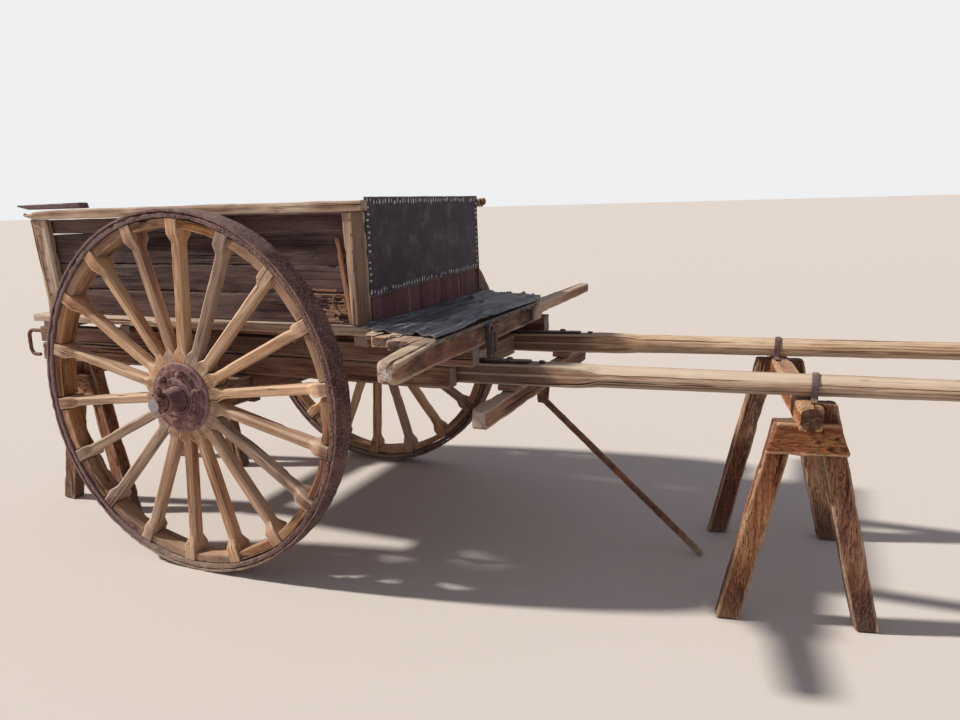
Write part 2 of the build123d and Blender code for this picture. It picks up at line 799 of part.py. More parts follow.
def wheel(side_name, side):
    """One wheel. Its plane's z points outboard, and its middle is the middle of the rim."""
    centre = Vector(axle_x, side * wheel_y, hub_z)
    across = Plane(centre, x_dir=(1, 0, 0), z_dir=(0, side, 0))
    spoke_angle = 360 / spoke_count
    angles = [side * -spoke_phase + index * spoke_angle for index in range(spoke_count)]
    first_bolt = angles[0] + spoke_angle / 2
    bolt_angles = [first_bolt + index * 360 / hub_bolt_count for index in range(hub_bolt_count)]

    def turned(points):
        """A turned solid from an outline of (radius, distance outboard)."""
        with BuildSketch(Plane(centre, x_dir=(1, 0, 0), z_dir=(0, 0, side))) as outline:
            with BuildLine():
                Polyline(*points, close=True)
            make_face()
        revolve(outline.sketch, axis=Axis(centre, (0, side, 0)))

    def at_bolts(outline, start, length, mode):
        """The same straight prism at each of the six hub bolts, from a distance outboard."""
        with BuildSketch(across.offset(start)) as section:
            for angle in bolt_angles:
                with Locations(Rot(0, 0, angle) * Pos(hub_bolt_circle, 0)):
                    outline()
        extrude(section.sketch, amount=length, mode=mode)

    def bolt_hole():
        Circle(hub_bolt_radius + fit)

    half = tyre_width / 2
    lining_half = lining_width / 2
    lining_outer = tyre_radius - tyre_hoop
    with BuildPart() as tyre:
        turned(((rim_inner, -lining_half), (rim_inner, lining_half), (lining_outer, lining_half),
                (lining_outer, half), (tyre_radius - tyre_edge, half), (tyre_radius, half - tyre_edge),
                (tyre_radius, tyre_edge - half), (tyre_radius - tyre_edge, -half), (lining_outer, -half),
                (lining_outer, -lining_half)))
    finish(tyre.part, f"tyre_{side_name}")

    with BuildPart() as felloes:
        with BuildSketch(across.offset(-felloe_width / 2)):
            Circle(rim_inner - fit)
            Circle(rim_inner - felloe_depth, mode=Mode.SUBTRACT)
            for angle in angles:
                with Locations(Rot(0, 0, angle) * Pos(rim_inner, 0)):
                    Rectangle(3 * felloe_depth, head_width + 2 * fit, mode=Mode.SUBTRACT)
        extrude(amount=felloe_width)
    finish(felloes.part, f"felloes_{side_name}")

    # Spokes: the outboard face's outline, cut to the side outline, then the stem's edges chamfered
    foot_half = tan(radians(spoke_angle / 2))
    mitre = fit / 2 / cos(radians(spoke_angle / 2))
    head_end = sqrt(rim_inner ** 2 - (head_width / 2) ** 2) - fit
    head_start = head_end - head_length
    stem_start = foot_outer + foot_taper
    stem_end = head_start - head_taper
    face_half = (
        # radius, half width
        (foot_inner, foot_inner * foot_half - mitre),
        (foot_outer, foot_outer * foot_half - mitre),
        (stem_start, stem_width / 2),
        (stem_end, stem_width / 2),
        (head_start, head_width / 2),
        (head_end, head_width / 2),
    )
    side_half = (
        # radius, half thickness along the axle
        (foot_inner, foot_axial / 2),
        (foot_outer - foot_shoulder, foot_axial / 2),
        (stem_start, stem_axial / 2),
        (stem_end, stem_axial / 2),
        (head_start, head_axial / 2),
        (head_end, head_axial / 2),
    )
    one_spoke = []
    for angle in angles:
        along = across.x_dir * cos(radians(angle)) + across.y_dir * sin(radians(angle))
        face_plane = Plane(centre, x_dir=along, z_dir=across.z_dir)
        edge_plane = Plane(centre, x_dir=along, z_dir=-face_plane.y_dir)
        with BuildPart(mode=Mode.PRIVATE) as spoke:
            for outline, plane, mode in ((face_half, face_plane, Mode.ADD),
                                         (side_half, edge_plane, Mode.INTERSECT)):
                with BuildSketch(plane):
                    with BuildLine():
                        Polyline(*outline, *[(r, -h) for r, h in reversed(outline)], close=True)
                    make_face()
                extrude(amount=foot_outer, both=True, mode=mode)
            stem_edges = spoke.edges().filter_by(lambda edge: edge.length > stem_end - stem_start - 1)
            chamfer(stem_edges, stem_chamfer)
        one_spoke.append(spoke.part)
    with BuildPart() as spokes:
        for part in one_spoke:
            add(part)
        at_bolts(bolt_hole, -foot_axial, 2 * foot_axial, Mode.SUBTRACT)
    finish(spokes.part, f"spokes_{side_name}")

    # Hub: the pipe box with its back flange, and the front flange clamped by six bolts
    seat = foot_axial / 2 + fit
    face = seat + flange_thick
    bore = arm_radius + arm_clearance
    boss_outer = hub_bolt_circle - bolt_head_radius - bolt_clear
    with BuildPart() as hub:
        turned(((bore, -back_end), (pipe_radius + pipe_edge, -back_end),
                (pipe_radius + 2 * pipe_edge, -back_end + pipe_edge),
                (boss_outer - boss_width, -face - boss_height), (boss_outer, -face),
                (flange_radius - flange_edge, -face), (flange_radius, -face + flange_edge),
                (flange_radius, -seat), (foot_inner - fit, -seat), (foot_inner - fit, seat),
                (pipe_radius, seat), (pipe_radius, face + pipe_collar),
                (nose_end_radius, nose_end - nose_edge), (nose_end_radius - nose_edge, nose_end),
                (bore, nose_end)))
        at_bolts(bolt_hole, -face - 1, flange_thick + 2, Mode.SUBTRACT)
    finish(hub.part, f"hub_{side_name}")

    with BuildPart() as flange:
        turned(((pipe_radius + fit, seat + fit), (flange_radius, seat + fit),
                (flange_radius, face - flange_edge), (flange_radius - flange_edge, face),
                (boss_outer, face), (boss_outer - boss_width, face + boss_height),
                (pipe_radius + fit, face + boss_height)))
        at_bolts(bolt_hole, seat - 1, flange_thick + 2, Mode.SUBTRACT)
    finish(flange.part, f"hub_flange_{side_name}")

    with BuildPart() as bolts:
        at_bolts(lambda: Circle(hub_bolt_radius), -face - fit, 2 * (face + fit), Mode.ADD)
        for start in (-face - bolt_head - fit, face + fit):
            at_bolts(lambda: RegularPolygon(bolt_head_radius, 6), start, bolt_head, Mode.ADD)
    finish(bolts.part, f"hub_bolts_{side_name}")


wheel("right", -1)
wheel("left", 1)
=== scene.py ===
from itertools import product
from math import cos, exp, pi, radians, sin, tan

import bpy
import numpy as np
from mathutils import Matrix, Vector


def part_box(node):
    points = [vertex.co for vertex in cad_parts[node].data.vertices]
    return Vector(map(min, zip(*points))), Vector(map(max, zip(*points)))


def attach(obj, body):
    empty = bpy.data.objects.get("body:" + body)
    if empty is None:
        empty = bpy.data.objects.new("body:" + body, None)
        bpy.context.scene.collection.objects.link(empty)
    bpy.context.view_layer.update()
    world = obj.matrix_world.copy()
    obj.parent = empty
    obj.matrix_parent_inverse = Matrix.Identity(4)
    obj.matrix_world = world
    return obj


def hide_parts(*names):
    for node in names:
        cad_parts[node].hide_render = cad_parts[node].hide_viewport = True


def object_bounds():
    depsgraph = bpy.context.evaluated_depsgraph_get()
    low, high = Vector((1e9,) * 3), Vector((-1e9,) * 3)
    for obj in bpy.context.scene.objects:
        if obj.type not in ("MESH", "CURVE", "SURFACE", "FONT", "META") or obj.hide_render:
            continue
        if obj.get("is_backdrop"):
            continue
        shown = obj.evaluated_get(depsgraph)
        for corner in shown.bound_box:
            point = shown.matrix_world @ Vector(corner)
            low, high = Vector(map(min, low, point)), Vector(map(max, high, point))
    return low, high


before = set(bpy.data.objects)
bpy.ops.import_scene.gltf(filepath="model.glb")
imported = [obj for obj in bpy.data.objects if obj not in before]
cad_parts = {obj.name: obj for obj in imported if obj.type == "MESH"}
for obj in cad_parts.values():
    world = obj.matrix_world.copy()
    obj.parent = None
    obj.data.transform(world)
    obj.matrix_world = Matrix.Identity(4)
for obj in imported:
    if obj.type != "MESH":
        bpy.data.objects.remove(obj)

# Looks of a weathered two-wheeled ore cart on two trestles. Metres, +X forward, +Z up.
cad_low, cad_high = (np.array(corner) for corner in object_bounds())
axle_x = np.mean([corner[0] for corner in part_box("tyre_right")])
X = np.array((1.0, 0.0, 0.0))
Y = np.array((0.0, 1.0, 0.0))
Z = np.array((0.0, 0.0, 1.0))


# Numbers that look random but come out the same each run

def noise(points, size, seed=0):
    """Smooth noise from -1 to 1 at points; size is that of its lumps, one number or one for each axis."""
    spot = np.asarray(points, float) / np.asarray(size, float)
    corner = np.floor(spot).astype(np.int64)
    part = spot - corner
    part = part * part * (3 - 2 * part)
    total = np.zeros(spot.shape[:-1])
    for step in product((0, 1), repeat=3):
        key = corner + np.array(step)
        value = (key[..., 0] * 374761393 + key[..., 1] * 668265263 + key[..., 2] * 1442695041 + seed * 97531)
        value = value & 0xFFFFFFFF
        value = ((value ^ (value >> 13)) * 1274126177) & 0xFFFFFFFF
        value = ((value ^ (value >> 16)) & 0xFFFF) / 65535
        weight = np.prod(np.where(np.array(step) == 1, part, 1 - part), axis=-1)
        total += value * weight
    return 2 * total - 1


def rough(points, size, seed=0, octaves=3):
    """Several sizes of noise added up, each half as large as the one before."""
    total = 0
    for octave in range(octaves):
        total = total + noise(points, np.asarray(size) / 2 ** octave, seed + octave) / 2 ** octave
    return total / (2 - 0.5 ** (octaves - 1))


def unit(vectors):
    return vectors / np.maximum(np.linalg.norm(vectors, axis=-1, keepdims=True), 1e-12)


# Meshes

class Skin:
    """Collects the parts of one piece and makes them into one mesh object."""

    def __init__(self, name, seed=0):
        self.name = name
        self.random = np.random.default_rng(seed + 1)
        self.parts = []

    def add(self, points, faces, grain=None, wear=None, ends=None, marks=None, tone=None):
        """Adds a part: points, faces, the grain's own coordinates, worn edges, cut ends, dark marks (real stains, and
        painted shade on some pieces) and a random tone.
        """
        points = np.asarray(points, float)
        grain = points if grain is None else np.asarray(grain, float)
        wear, ends, marks = [np.zeros(len(points)) if values is None else np.asarray(values, float)
                             for values in (wear, ends, marks)]
        tone = self.random.uniform(-1, 1) if tone is None else tone
        self.parts.append((points, faces, grain, wear, ends, marks, np.full(len(points), tone)))

    def make(self, material, body, nodes=(), sharp=38):
        """The finished object: it rides on its body, replaces its CAD nodes and stays in the CAD box."""
        start = 0
        faces = []
        for part in self.parts:
            faces += [tuple(start + corner for corner in face) for face in part[1]]
            start += len(part[0])
        points, grain, wear, ends, marks, tone = [np.concatenate([part[column] for part in self.parts])
                                                  for column in (0, 2, 3, 4, 5, 6)]
        points = np.clip(points, cad_low, cad_high)
        mesh = bpy.data.meshes.new(self.name)
        mesh.from_pydata(points.tolist(), [], faces)
        mesh.update()
        mesh.validate()
        mesh.shade_smooth()
        mesh.set_sharp_from_angle(angle=radians(sharp))
        normals = np.zeros(len(points) * 3, np.float32)
        mesh.vertices.foreach_get("normal", normals)
        upward = np.clip(normals.reshape(-1, 3)[:, 2], 0, 1)
        look = np.stack((wear, upward, np.exp(-points[:, 2] / 0.16)), axis=1)
        spots = np.stack((ends, marks, tone), axis=1)
        for label, values in (("grain", grain), ("look", look), ("spots", spots)):
            layer = mesh.attributes.new(label, "FLOAT_VECTOR", "POINT")
            layer.data.foreach_set("vector", values.astype(np.float32).ravel())
        piece = bpy.data.objects.new(self.name, mesh)
        bpy.context.scene.collection.objects.link(piece)
        mesh.materials.append(material)
        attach(piece, body)
        if nodes:
            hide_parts(*nodes)
        return piece


def strips(rows, columns, closed=True):
    """Four-cornered faces between rows of points."""
    faces = []
    for row in range(rows - 1):
        for column in range(columns if closed else columns - 1):
            after = (column + 1) % columns
            faces.append((row * columns + column, row * columns + after,
                          (row + 1) * columns + after, (row + 1) * columns + column))
    return faces


cap_rings = (0.9, 0.72, 0.5, 0.26)


def closed_skin(rings, grain, wear, cap_rough=0.0008, seed=0):
    """Joins rings of points into a closed skin, with several inner rings on both ends."""
    count, around = rings.shape[:2]
    axis = unit(rings[-1].mean(0) - rings[0].mean(0))
    points = [rings.reshape(-1, 3)]
    places = [grain.reshape(-1, 3)]
    worn = [wear.reshape(-1)]
    ends = [np.zeros(count * around)]
    faces = strips(count, around)
    start = count * around
    for ring, place, edge, first, outward in ((rings[0], grain[0], wear[0], 0, -1),
                                              (rings[-1], grain[-1], wear[-1], (count - 1) * around, 1)):
        middle, middle_place = ring.mean(0), place.mean(0)
        before = first
        for share in cap_rings:
            inner = middle + (ring - middle) * share
            inner_place = middle_place + (place - middle_place) * share
            lift = rough(inner_place, (1, 0.012, 0.012), seed + 5) * cap_rough
            points.append(inner + (outward * lift)[:, None] * axis)
            places.append(inner_place)
            worn.append(edge * 0.3 * share)
            ends.append(np.ones(around))
            for column in range(around):
                after = (column + 1) % around
                face = (before + column, before + after, start + after, start + column)
                faces.append(face if outward > 0 else face[::-1])
            before = start
            start += around
        points.append(middle[None])
        places.append(middle_place[None])
        worn.append(np.zeros(1))
        ends.append(np.ones(1))
        for column in range(around):
            face = (before + column, before + (column + 1) % around, start)
            faces.append(face if outward > 0 else face[::-1])
        start += 1
    return np.concatenate(points), faces, *[np.concatenate(values) for values in (places, worn, ends)]


def outline_points(corners, radius, marks, arc):
    """Points round a polygon with rounded corners, at every station at once, and how worn each is.

    corners is stations x corners x 2, going counter-clockwise. marks has, for each edge, the places of its
    points as shares of the edge and how far each is sunk, both given for every station.
    """
    ahead = np.roll(corners, -1, 1) - corners
    length = np.linalg.norm(ahead, axis=-1)
    forward = unit(ahead)
    back = -np.roll(forward, 1, 1)
    half_angle = np.arccos(np.clip((forward * back).sum(-1), -0.999, 0.999)) / 2
    reach = np.minimum(radius[:, None] / np.tan(half_angle), 0.45 * np.minimum(length, np.roll(length, 1, 1)))
    enter = corners + back * reach[..., None]
    leave = corners + forward * reach[..., None]
    inward = np.stack((-forward[..., 1], forward[..., 0]), -1)
    columns = []
    worn = []
    for index, edge in enumerate(marks):
        for t in np.linspace(0, 1, arc + 1):
            columns.append((1 - t) ** 2 * enter[:, index] + 2 * t * (1 - t) * corners[:, index]
                           + t ** 2 * leave[:, index])
            worn.append(np.ones(len(corners)))
        following = enter[:, (index + 1) % len(marks)]
        for share, sink in edge:
            columns.append(leave[:, index] + (following - leave[:, index]) * share[:, None]
                           + inward[:, index] * sink[:, None])
            nearest = np.minimum(share, 1 - share) * length[:, index]
            worn.append(np.exp(-nearest / 0.012))
    return np.stack(columns, 1), np.stack(worn, 1)


def spaced(length, step, end, extra=()):
    """Stations along a timber, closer together at its rounded ends."""
    inner = np.linspace(0, length, max(4, int(round(length / step)) + 1))[1:-1]
    inner = inner[(inner > 2.5 * end) & (inner < length - 2.5 * end)]
    for place in extra:
        inner = inner[np.abs(inner - place) > 0.3 * step]
    start = np.array((0, 0.3, 1, 2)) * end
    return np.sort(np.concatenate((start, inner, extra, length - start[::-1])))


def timber(skin, start, end, across, corners, radius=0.006, step=0.028, cell=0.014, hew=0.0012, fibre=0.0005,
           checks=0, check_width=0.0025, check_depth=0.012, chips=0.4, splinter=(0, 0), arc=2,
           end_round=0.004, bow=(0, 0), tone=None, cap_rough=0.0008, extra=(), pockets=(), place=None,
           stain=None):
    """A sawn or hewn timber from start to end.

    across is the direction of the section's x. corners is the section's outline and radius the rounding of
    its edges; each may be a function of the share of the length. checks is the number of drying cracks,
    which are real grooves. splinter is how far the two ends are torn. extra is places that need a station
    of their own. pockets are recesses: edge, share from, share to, place from, place to, depth. place turns
    the length and the section's own coordinates into a place, for a timber that isn't straight. stain gives
    how dark a mark is at places along and across the timber; on some pieces these marks are real stains,
    on others painted shade.
    """
    start, end = np.asarray(start, float), np.asarray(end, float)
    length = np.linalg.norm(end - start)
    axis = (end - start) / length
    across = unit(np.asarray(across, float) - axis * np.dot(across, axis))
    upward = np.cross(axis, across)
    seed = int(skin.random.integers(1, 10 ** 6))
    along = spaced(length, step, end_round, extra)
    share = along / length
    sections = np.array([corners(s) if callable(corners) else corners for s in share], float)
    rounding = np.array([radius(s) if callable(radius) else radius for s in share], float)
    middle = sections.mean(1, keepdims=True)
    half = np.abs(sections - middle).max(1, keepdims=True)
    rim = np.maximum(0, 1 - np.minimum(along, length - along) / end_round) ** 2
    sections = middle + (sections - middle) * (1 - end_round * rim[:, None, None] / half)
    edge_length = np.linalg.norm(np.roll(sections, -1, 1) - sections, axis=-1).mean(0)
    cracks = {}
    for index in range(checks):
        edge = int(skin.random.choice(len(edge_length), p=edge_length ** 2 / (edge_length ** 2).sum()))
        gaps = max(1, int(round(edge_length[edge] / cell)))
        spot = int(skin.random.integers(0, gaps))
        from_end = skin.random.random() < 0.5
        reach = skin.random.uniform(0.15, 0.5) * (1.0 if length > 0.6 else 1.6)
        first = skin.random.choice((-0.1, 1.1 - reach)) if from_end else skin.random.uniform(0.05, 0.95 - reach)
        cracks[edge, spot] = (first, first + reach, skin.random.uniform(0.4, 1.2))
    none = np.zeros(len(along))
    marks = []
    for edge, size in enumerate(edge_length):
        gaps = max(1, int(round(size / cell)))
        row = []
        for spot in range(gaps):
            if spot:
                row.append((none + spot / gaps, none))
            if (edge, spot) in cracks:
                first, last, force = cracks[edge, spot]
                inside = np.clip((share - first) * (last - share) * 4 / (last - first) ** 2, 0, 1) ** 0.5
                wander = noise(np.stack((along, none + edge, none + spot), 1), 0.07, seed)
                centre = (spot + 0.5 + 0.22 * wander) / gaps
                slit = (check_width / 2 * force * inside + 0.0003) / size
                row += [(centre - slit, none), (centre, check_depth * force * inside), (centre + slit, none)]
        for on_edge, low, high, first, last, depth in pockets:
            if on_edge == edge:
                within = ((along > first) & (along < last)).astype(float)
                row = [(at, np.where((at > low) & (at < high), depth * within, sink)) for at, sink in row]
                row += [(none + low - 0.01, none), (none + low, depth * within),
                        (none + high, depth * within), (none + high + 0.01, none)]
                row.sort(key=lambda mark: mark[0].mean())
        marks.append(row)
    flat, worn = outline_points(sections, rounding, marks, arc)
    shift = np.array((skin.random.uniform(-9, 9), *skin.random.uniform(-0.09, 0.09, 2)))
    grain = np.concatenate((np.broadcast_to(along[:, None, None], flat.shape[:2] + (1,)), flat), -1) + shift
    bent = flat + np.sin(pi * share)[:, None, None] * np.array(bow)
    if place:
        rings = place(along, bent)
    else:
        rings = start + along[:, None, None] * axis + bent[..., :1] * across + bent[..., 1:] * upward
    around = np.roll(rings, -1, 1) - np.roll(rings, 1, 1)
    outward = unit(np.cross(around, np.gradient(rings, axis=0)))
    lumps = hew * rough(grain, (0.11, 0.05, 0.05), seed, 2) + fibre * noise(grain, (0.16, 0.007, 0.007), seed + 3)
    chipped = np.clip(noise(grain, (0.05, 0.03, 0.03), seed + 7) - 0.35, 0, 1) * worn ** 2 * chips * 0.016
    rings = rings + outward * (lumps - chipped - hew)[..., None]
    for torn, near, sign in ((splinter[0], share, 1), (splinter[1], 1 - share, -1)):
        if torn:
            pull = torn * (0.5 + 0.5 * rough(grain, (9, 0.009, 0.02), seed + 11))
            pull = pull * np.exp(-near * length / torn)[:, None]
            rings = rings + sign * pull[..., None] * axis
    points, faces, places, worn, ends = closed_skin(rings, grain, worn, cap_rough, seed)
    marks = stain(places - shift) if stain else None
    skin.add(points, faces, places, worn, ends, marks, tone)


def counter_clockwise(outline):
    """The outline, turned round if it goes clockwise."""
    outline = np.asarray(outline, float)
    x, y = outline.T
    area = (x * np.roll(y, -1) - np.roll(x, -1) * y).sum()
    return outline if area > 0 else outline[::-1]


def upright(skin, foot, head, low, high, **finish):
    """A timber that stands between two level outlines of (x, y), at the heights low and high."""
    foot, head = counter_clockwise(foot), counter_clockwise(head)
    timber(skin, (0, 0, low), (0, 0, high), X, lambda s: foot + (head - foot) * s, **finish)


def lathe(skin, centre, axis, profile, count=96, radius=0.003, cell=0.012, lumps=0.0006, lump_size=0.03,
          ragged=0.0, arc=2, tone=0.0):
    """A turned ring or disc from a closed outline of (radius, distance along the axis)."""
    profile = counter_clockwise(profile)
    edge_length = np.linalg.norm(np.roll(profile, -1, 0) - profile, axis=1)
    marks = []
    for size in edge_length:
        gaps = max(1, int(round(size / cell)))
        marks.append([(np.full(1, spot / gaps), np.zeros(1)) for spot in range(1, gaps)])
    outline, worn = outline_points(profile[None], np.array((radius,)), marks, arc)
    outline, worn = outline[0], worn[0]
    seed = int(skin.random.integers(1, 10 ** 6))
    axis = np.asarray(axis, float)
    side = np.cross(axis, X)
    turn = np.linspace(0, 2 * pi, count, endpoint=False)
    spin = np.cos(turn)[:, None] * X + np.sin(turn)[:, None] * side
    rings = np.asarray(centre) + outline[None, :, :1] * spin[:, None] + outline[None, :, 1:] * axis
    around = np.roll(rings, -1, 1) - np.roll(rings, 1, 1)
    outward = unit(np.cross(np.roll(rings, -1, 0) - np.roll(rings, 1, 0), around))
    place = rings - np.asarray(centre)
    shift = lumps * (rough(place, lump_size, seed) - 0.5)
    shift -= ragged * np.clip(noise(place, lump_size, seed + 3), 0, 1) * worn
    rings = rings + outward * shift[..., None]
    columns = len(outline)
    faces = []
    for row in range(count):
        after_row = (row + 1) % count
        for column in range(columns):
            after = (column + 1) % columns
            faces.append((row * columns + column, after_row * columns + column,
                          after_row * columns + after, row * columns + after))
    skin.add(rings.reshape(-1, 3), faces, place.reshape(-1, 3), np.tile(worn, count), tone=tone)


def blob(skin, centre, radii, lumps=0.25, rows=9, sides=14, tone=0.0):
    """A lumpy ball with its own radius along each axis."""
    seed = int(skin.random.integers(1, 10 ** 6))
    lift = np.linspace(-pi / 2, pi / 2, rows + 2)[1:-1]
    turn = np.linspace(0, 2 * pi, sides, endpoint=False)
    ball = np.stack((np.cos(lift)[:, None] * np.cos(turn), np.cos(lift)[:, None] * np.sin(turn),
                     np.sin(lift)[:, None] + 0 * turn), -1).reshape(-1, 3)
    ball = np.concatenate((ball, ((0, 0, -1), (0, 0, 1))))
    points = np.asarray(centre) + ball * radii * (1 + lumps * noise(ball, 0.7, seed))[:, None]
    last = len(points)
    faces = strips(rows, sides)
    faces += [((k + 1) % sides, k, last - 2) for k in range(sides)]
    top = (rows - 1) * sides
    faces += [(top + k, top + (k + 1) % sides, last - 1) for k in range(sides)]
    skin.add(points, faces, tone=tone)


def tube(skin, path, normal, radius, closed=False, sides=12, lumps=0.0008, tone=0.0):
    """A round bar bent along a flat path; normal is square to the path's plane."""
    path = np.asarray(path, float)
    ahead = np.roll(path, -1, 0) - np.roll(path, 1, 0) if closed else np.gradient(path, axis=0)
    side = np.asarray(normal, float)
    out = unit(np.cross(unit(ahead), side))
    turn = np.linspace(0, 2 * pi, sides, endpoint=False)
    rim = np.cos(turn)[None, :, None] * side + np.sin(turn)[None, :, None] * out[:, None]
    seed = int(skin.random.integers(1, 10 ** 6))
    rings = path[:, None] + rim * radius
    rings = rings + rim * (lumps * rough(rings, 0.012, seed))[..., None]
    if not closed:
        skin.add(*closed_skin(rings, rings, np.zeros(rings.shape[:2])), tone=tone)
        return
    faces = strips(len(path), sides)
    last = (len(path) - 1) * sides
    faces += [(last + k, last + (k + 1) % sides, (k + 1) % sides, k) for k in range(sides)]
    skin.add(rings.reshape(-1, 3), faces, tone=tone)


def sliver(skin, start, end, width, thick, **finish):
    """A thin torn strip of wood."""
    timber(skin, start, end, Z, rectangle(width, thick), radius=0.0012, arc=1, cell=0.006, step=0.018,
           end_round=0.001, hew=0.001, chips=0.8, splinter=(0.03, 0.03), **finish)


def beaten(name, nodes, material, body, voxel=0.0025, lumps=0.0007, lump_size=0.02, smooth=4, seed=0):
    """An iron piece with the shape of its CAD nodes, its edges rounded and its faces uneven."""
    skin = Skin(name, seed)
    for node in nodes:
        source = bpy.data.objects.new("rough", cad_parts[node].data.copy())
        bpy.context.scene.collection.objects.link(source)
        source.matrix_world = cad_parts[node].matrix_world
        weld = source.modifiers.new("weld", "WELD")
        weld.merge_threshold = 0.00002
        remesh = source.modifiers.new("remesh", "REMESH")
        remesh.mode = "VOXEL"
        remesh.voxel_size = voxel
        relax = source.modifiers.new("relax", "SMOOTH")
        relax.iterations = smooth
        relax.factor = 0.5
        graph = bpy.context.evaluated_depsgraph_get()
        mesh = source.evaluated_get(graph).to_mesh()
        points = np.zeros(len(mesh.vertices) * 3, np.float32)
        normals = np.zeros(len(mesh.vertices) * 3, np.float32)
        mesh.vertices.foreach_get("co", points)
        mesh.vertices.foreach_get("normal", normals)
        points, normals = points.reshape(-1, 3).astype(float), normals.reshape(-1, 3)
        faces = [tuple(polygon.vertices) for polygon in mesh.polygons]
        bpy.data.objects.remove(source)
        shift = lumps * (rough(points, lump_size, seed + 3) - 0.6)
        skin.add(points + normals * shift[:, None], faces, tone=0.0)
    return skin.make(material, body, nodes)


def rectangle(width, height, at=(0.0, 0.0)):
    """The corners of a rectangle of a width and height, counter-clockwise."""
    return [(at[0] + x * width / 2, at[1] + y * height / 2) for x, y in ((-1, -1), (1, -1), (1, 1), (-1, 1))]


def solid_boxes(node):
    """The low and high corners of each separate solid of a CAD node."""
    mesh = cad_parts[node].data
    points = np.array([vertex.co for vertex in mesh.vertices])
    spots, index = np.unique(np.round(points, 5), axis=0, return_inverse=True)
    index = index.ravel()
    group = np.arange(len(spots))

    def root(i):
        while group[i] != i:
            group[i] = group[group[i]]
            i = group[i]
        return i

    for polygon in mesh.polygons:
        corners = [root(index[corner]) for corner in polygon.vertices]
        for corner in corners[1:]:
            group[root(corner)] = root(corners[0])
    roots = np.array([root(i) for i in range(len(spots))])
    return [(spots[roots == r].min(0), spots[roots == r].max(0)) for r in np.unique(roots)]


def boards(name, nodes, axis, material, slot, seed=0, trim=0.0004, **finish):
    """A piece of straight timbers, one for each box-shaped solid of its CAD nodes, with the grain along axis."""
    skin = Skin(name, seed)
    along, across, up = {"x": (X, Y, Z), "y": (Y, Z, X), "z": (Z, X, Y)}[axis]
    for node in nodes:
        for low, high in solid_boxes(node):
            middle = (low + high) / 2
            size = high - low - 2 * trim
            timber(skin, middle - along * size / 2, middle + along * size / 2, across,
                   rectangle(size @ across, size @ up), **finish)
    return skin.make(material, "cart", nodes)


# Materials

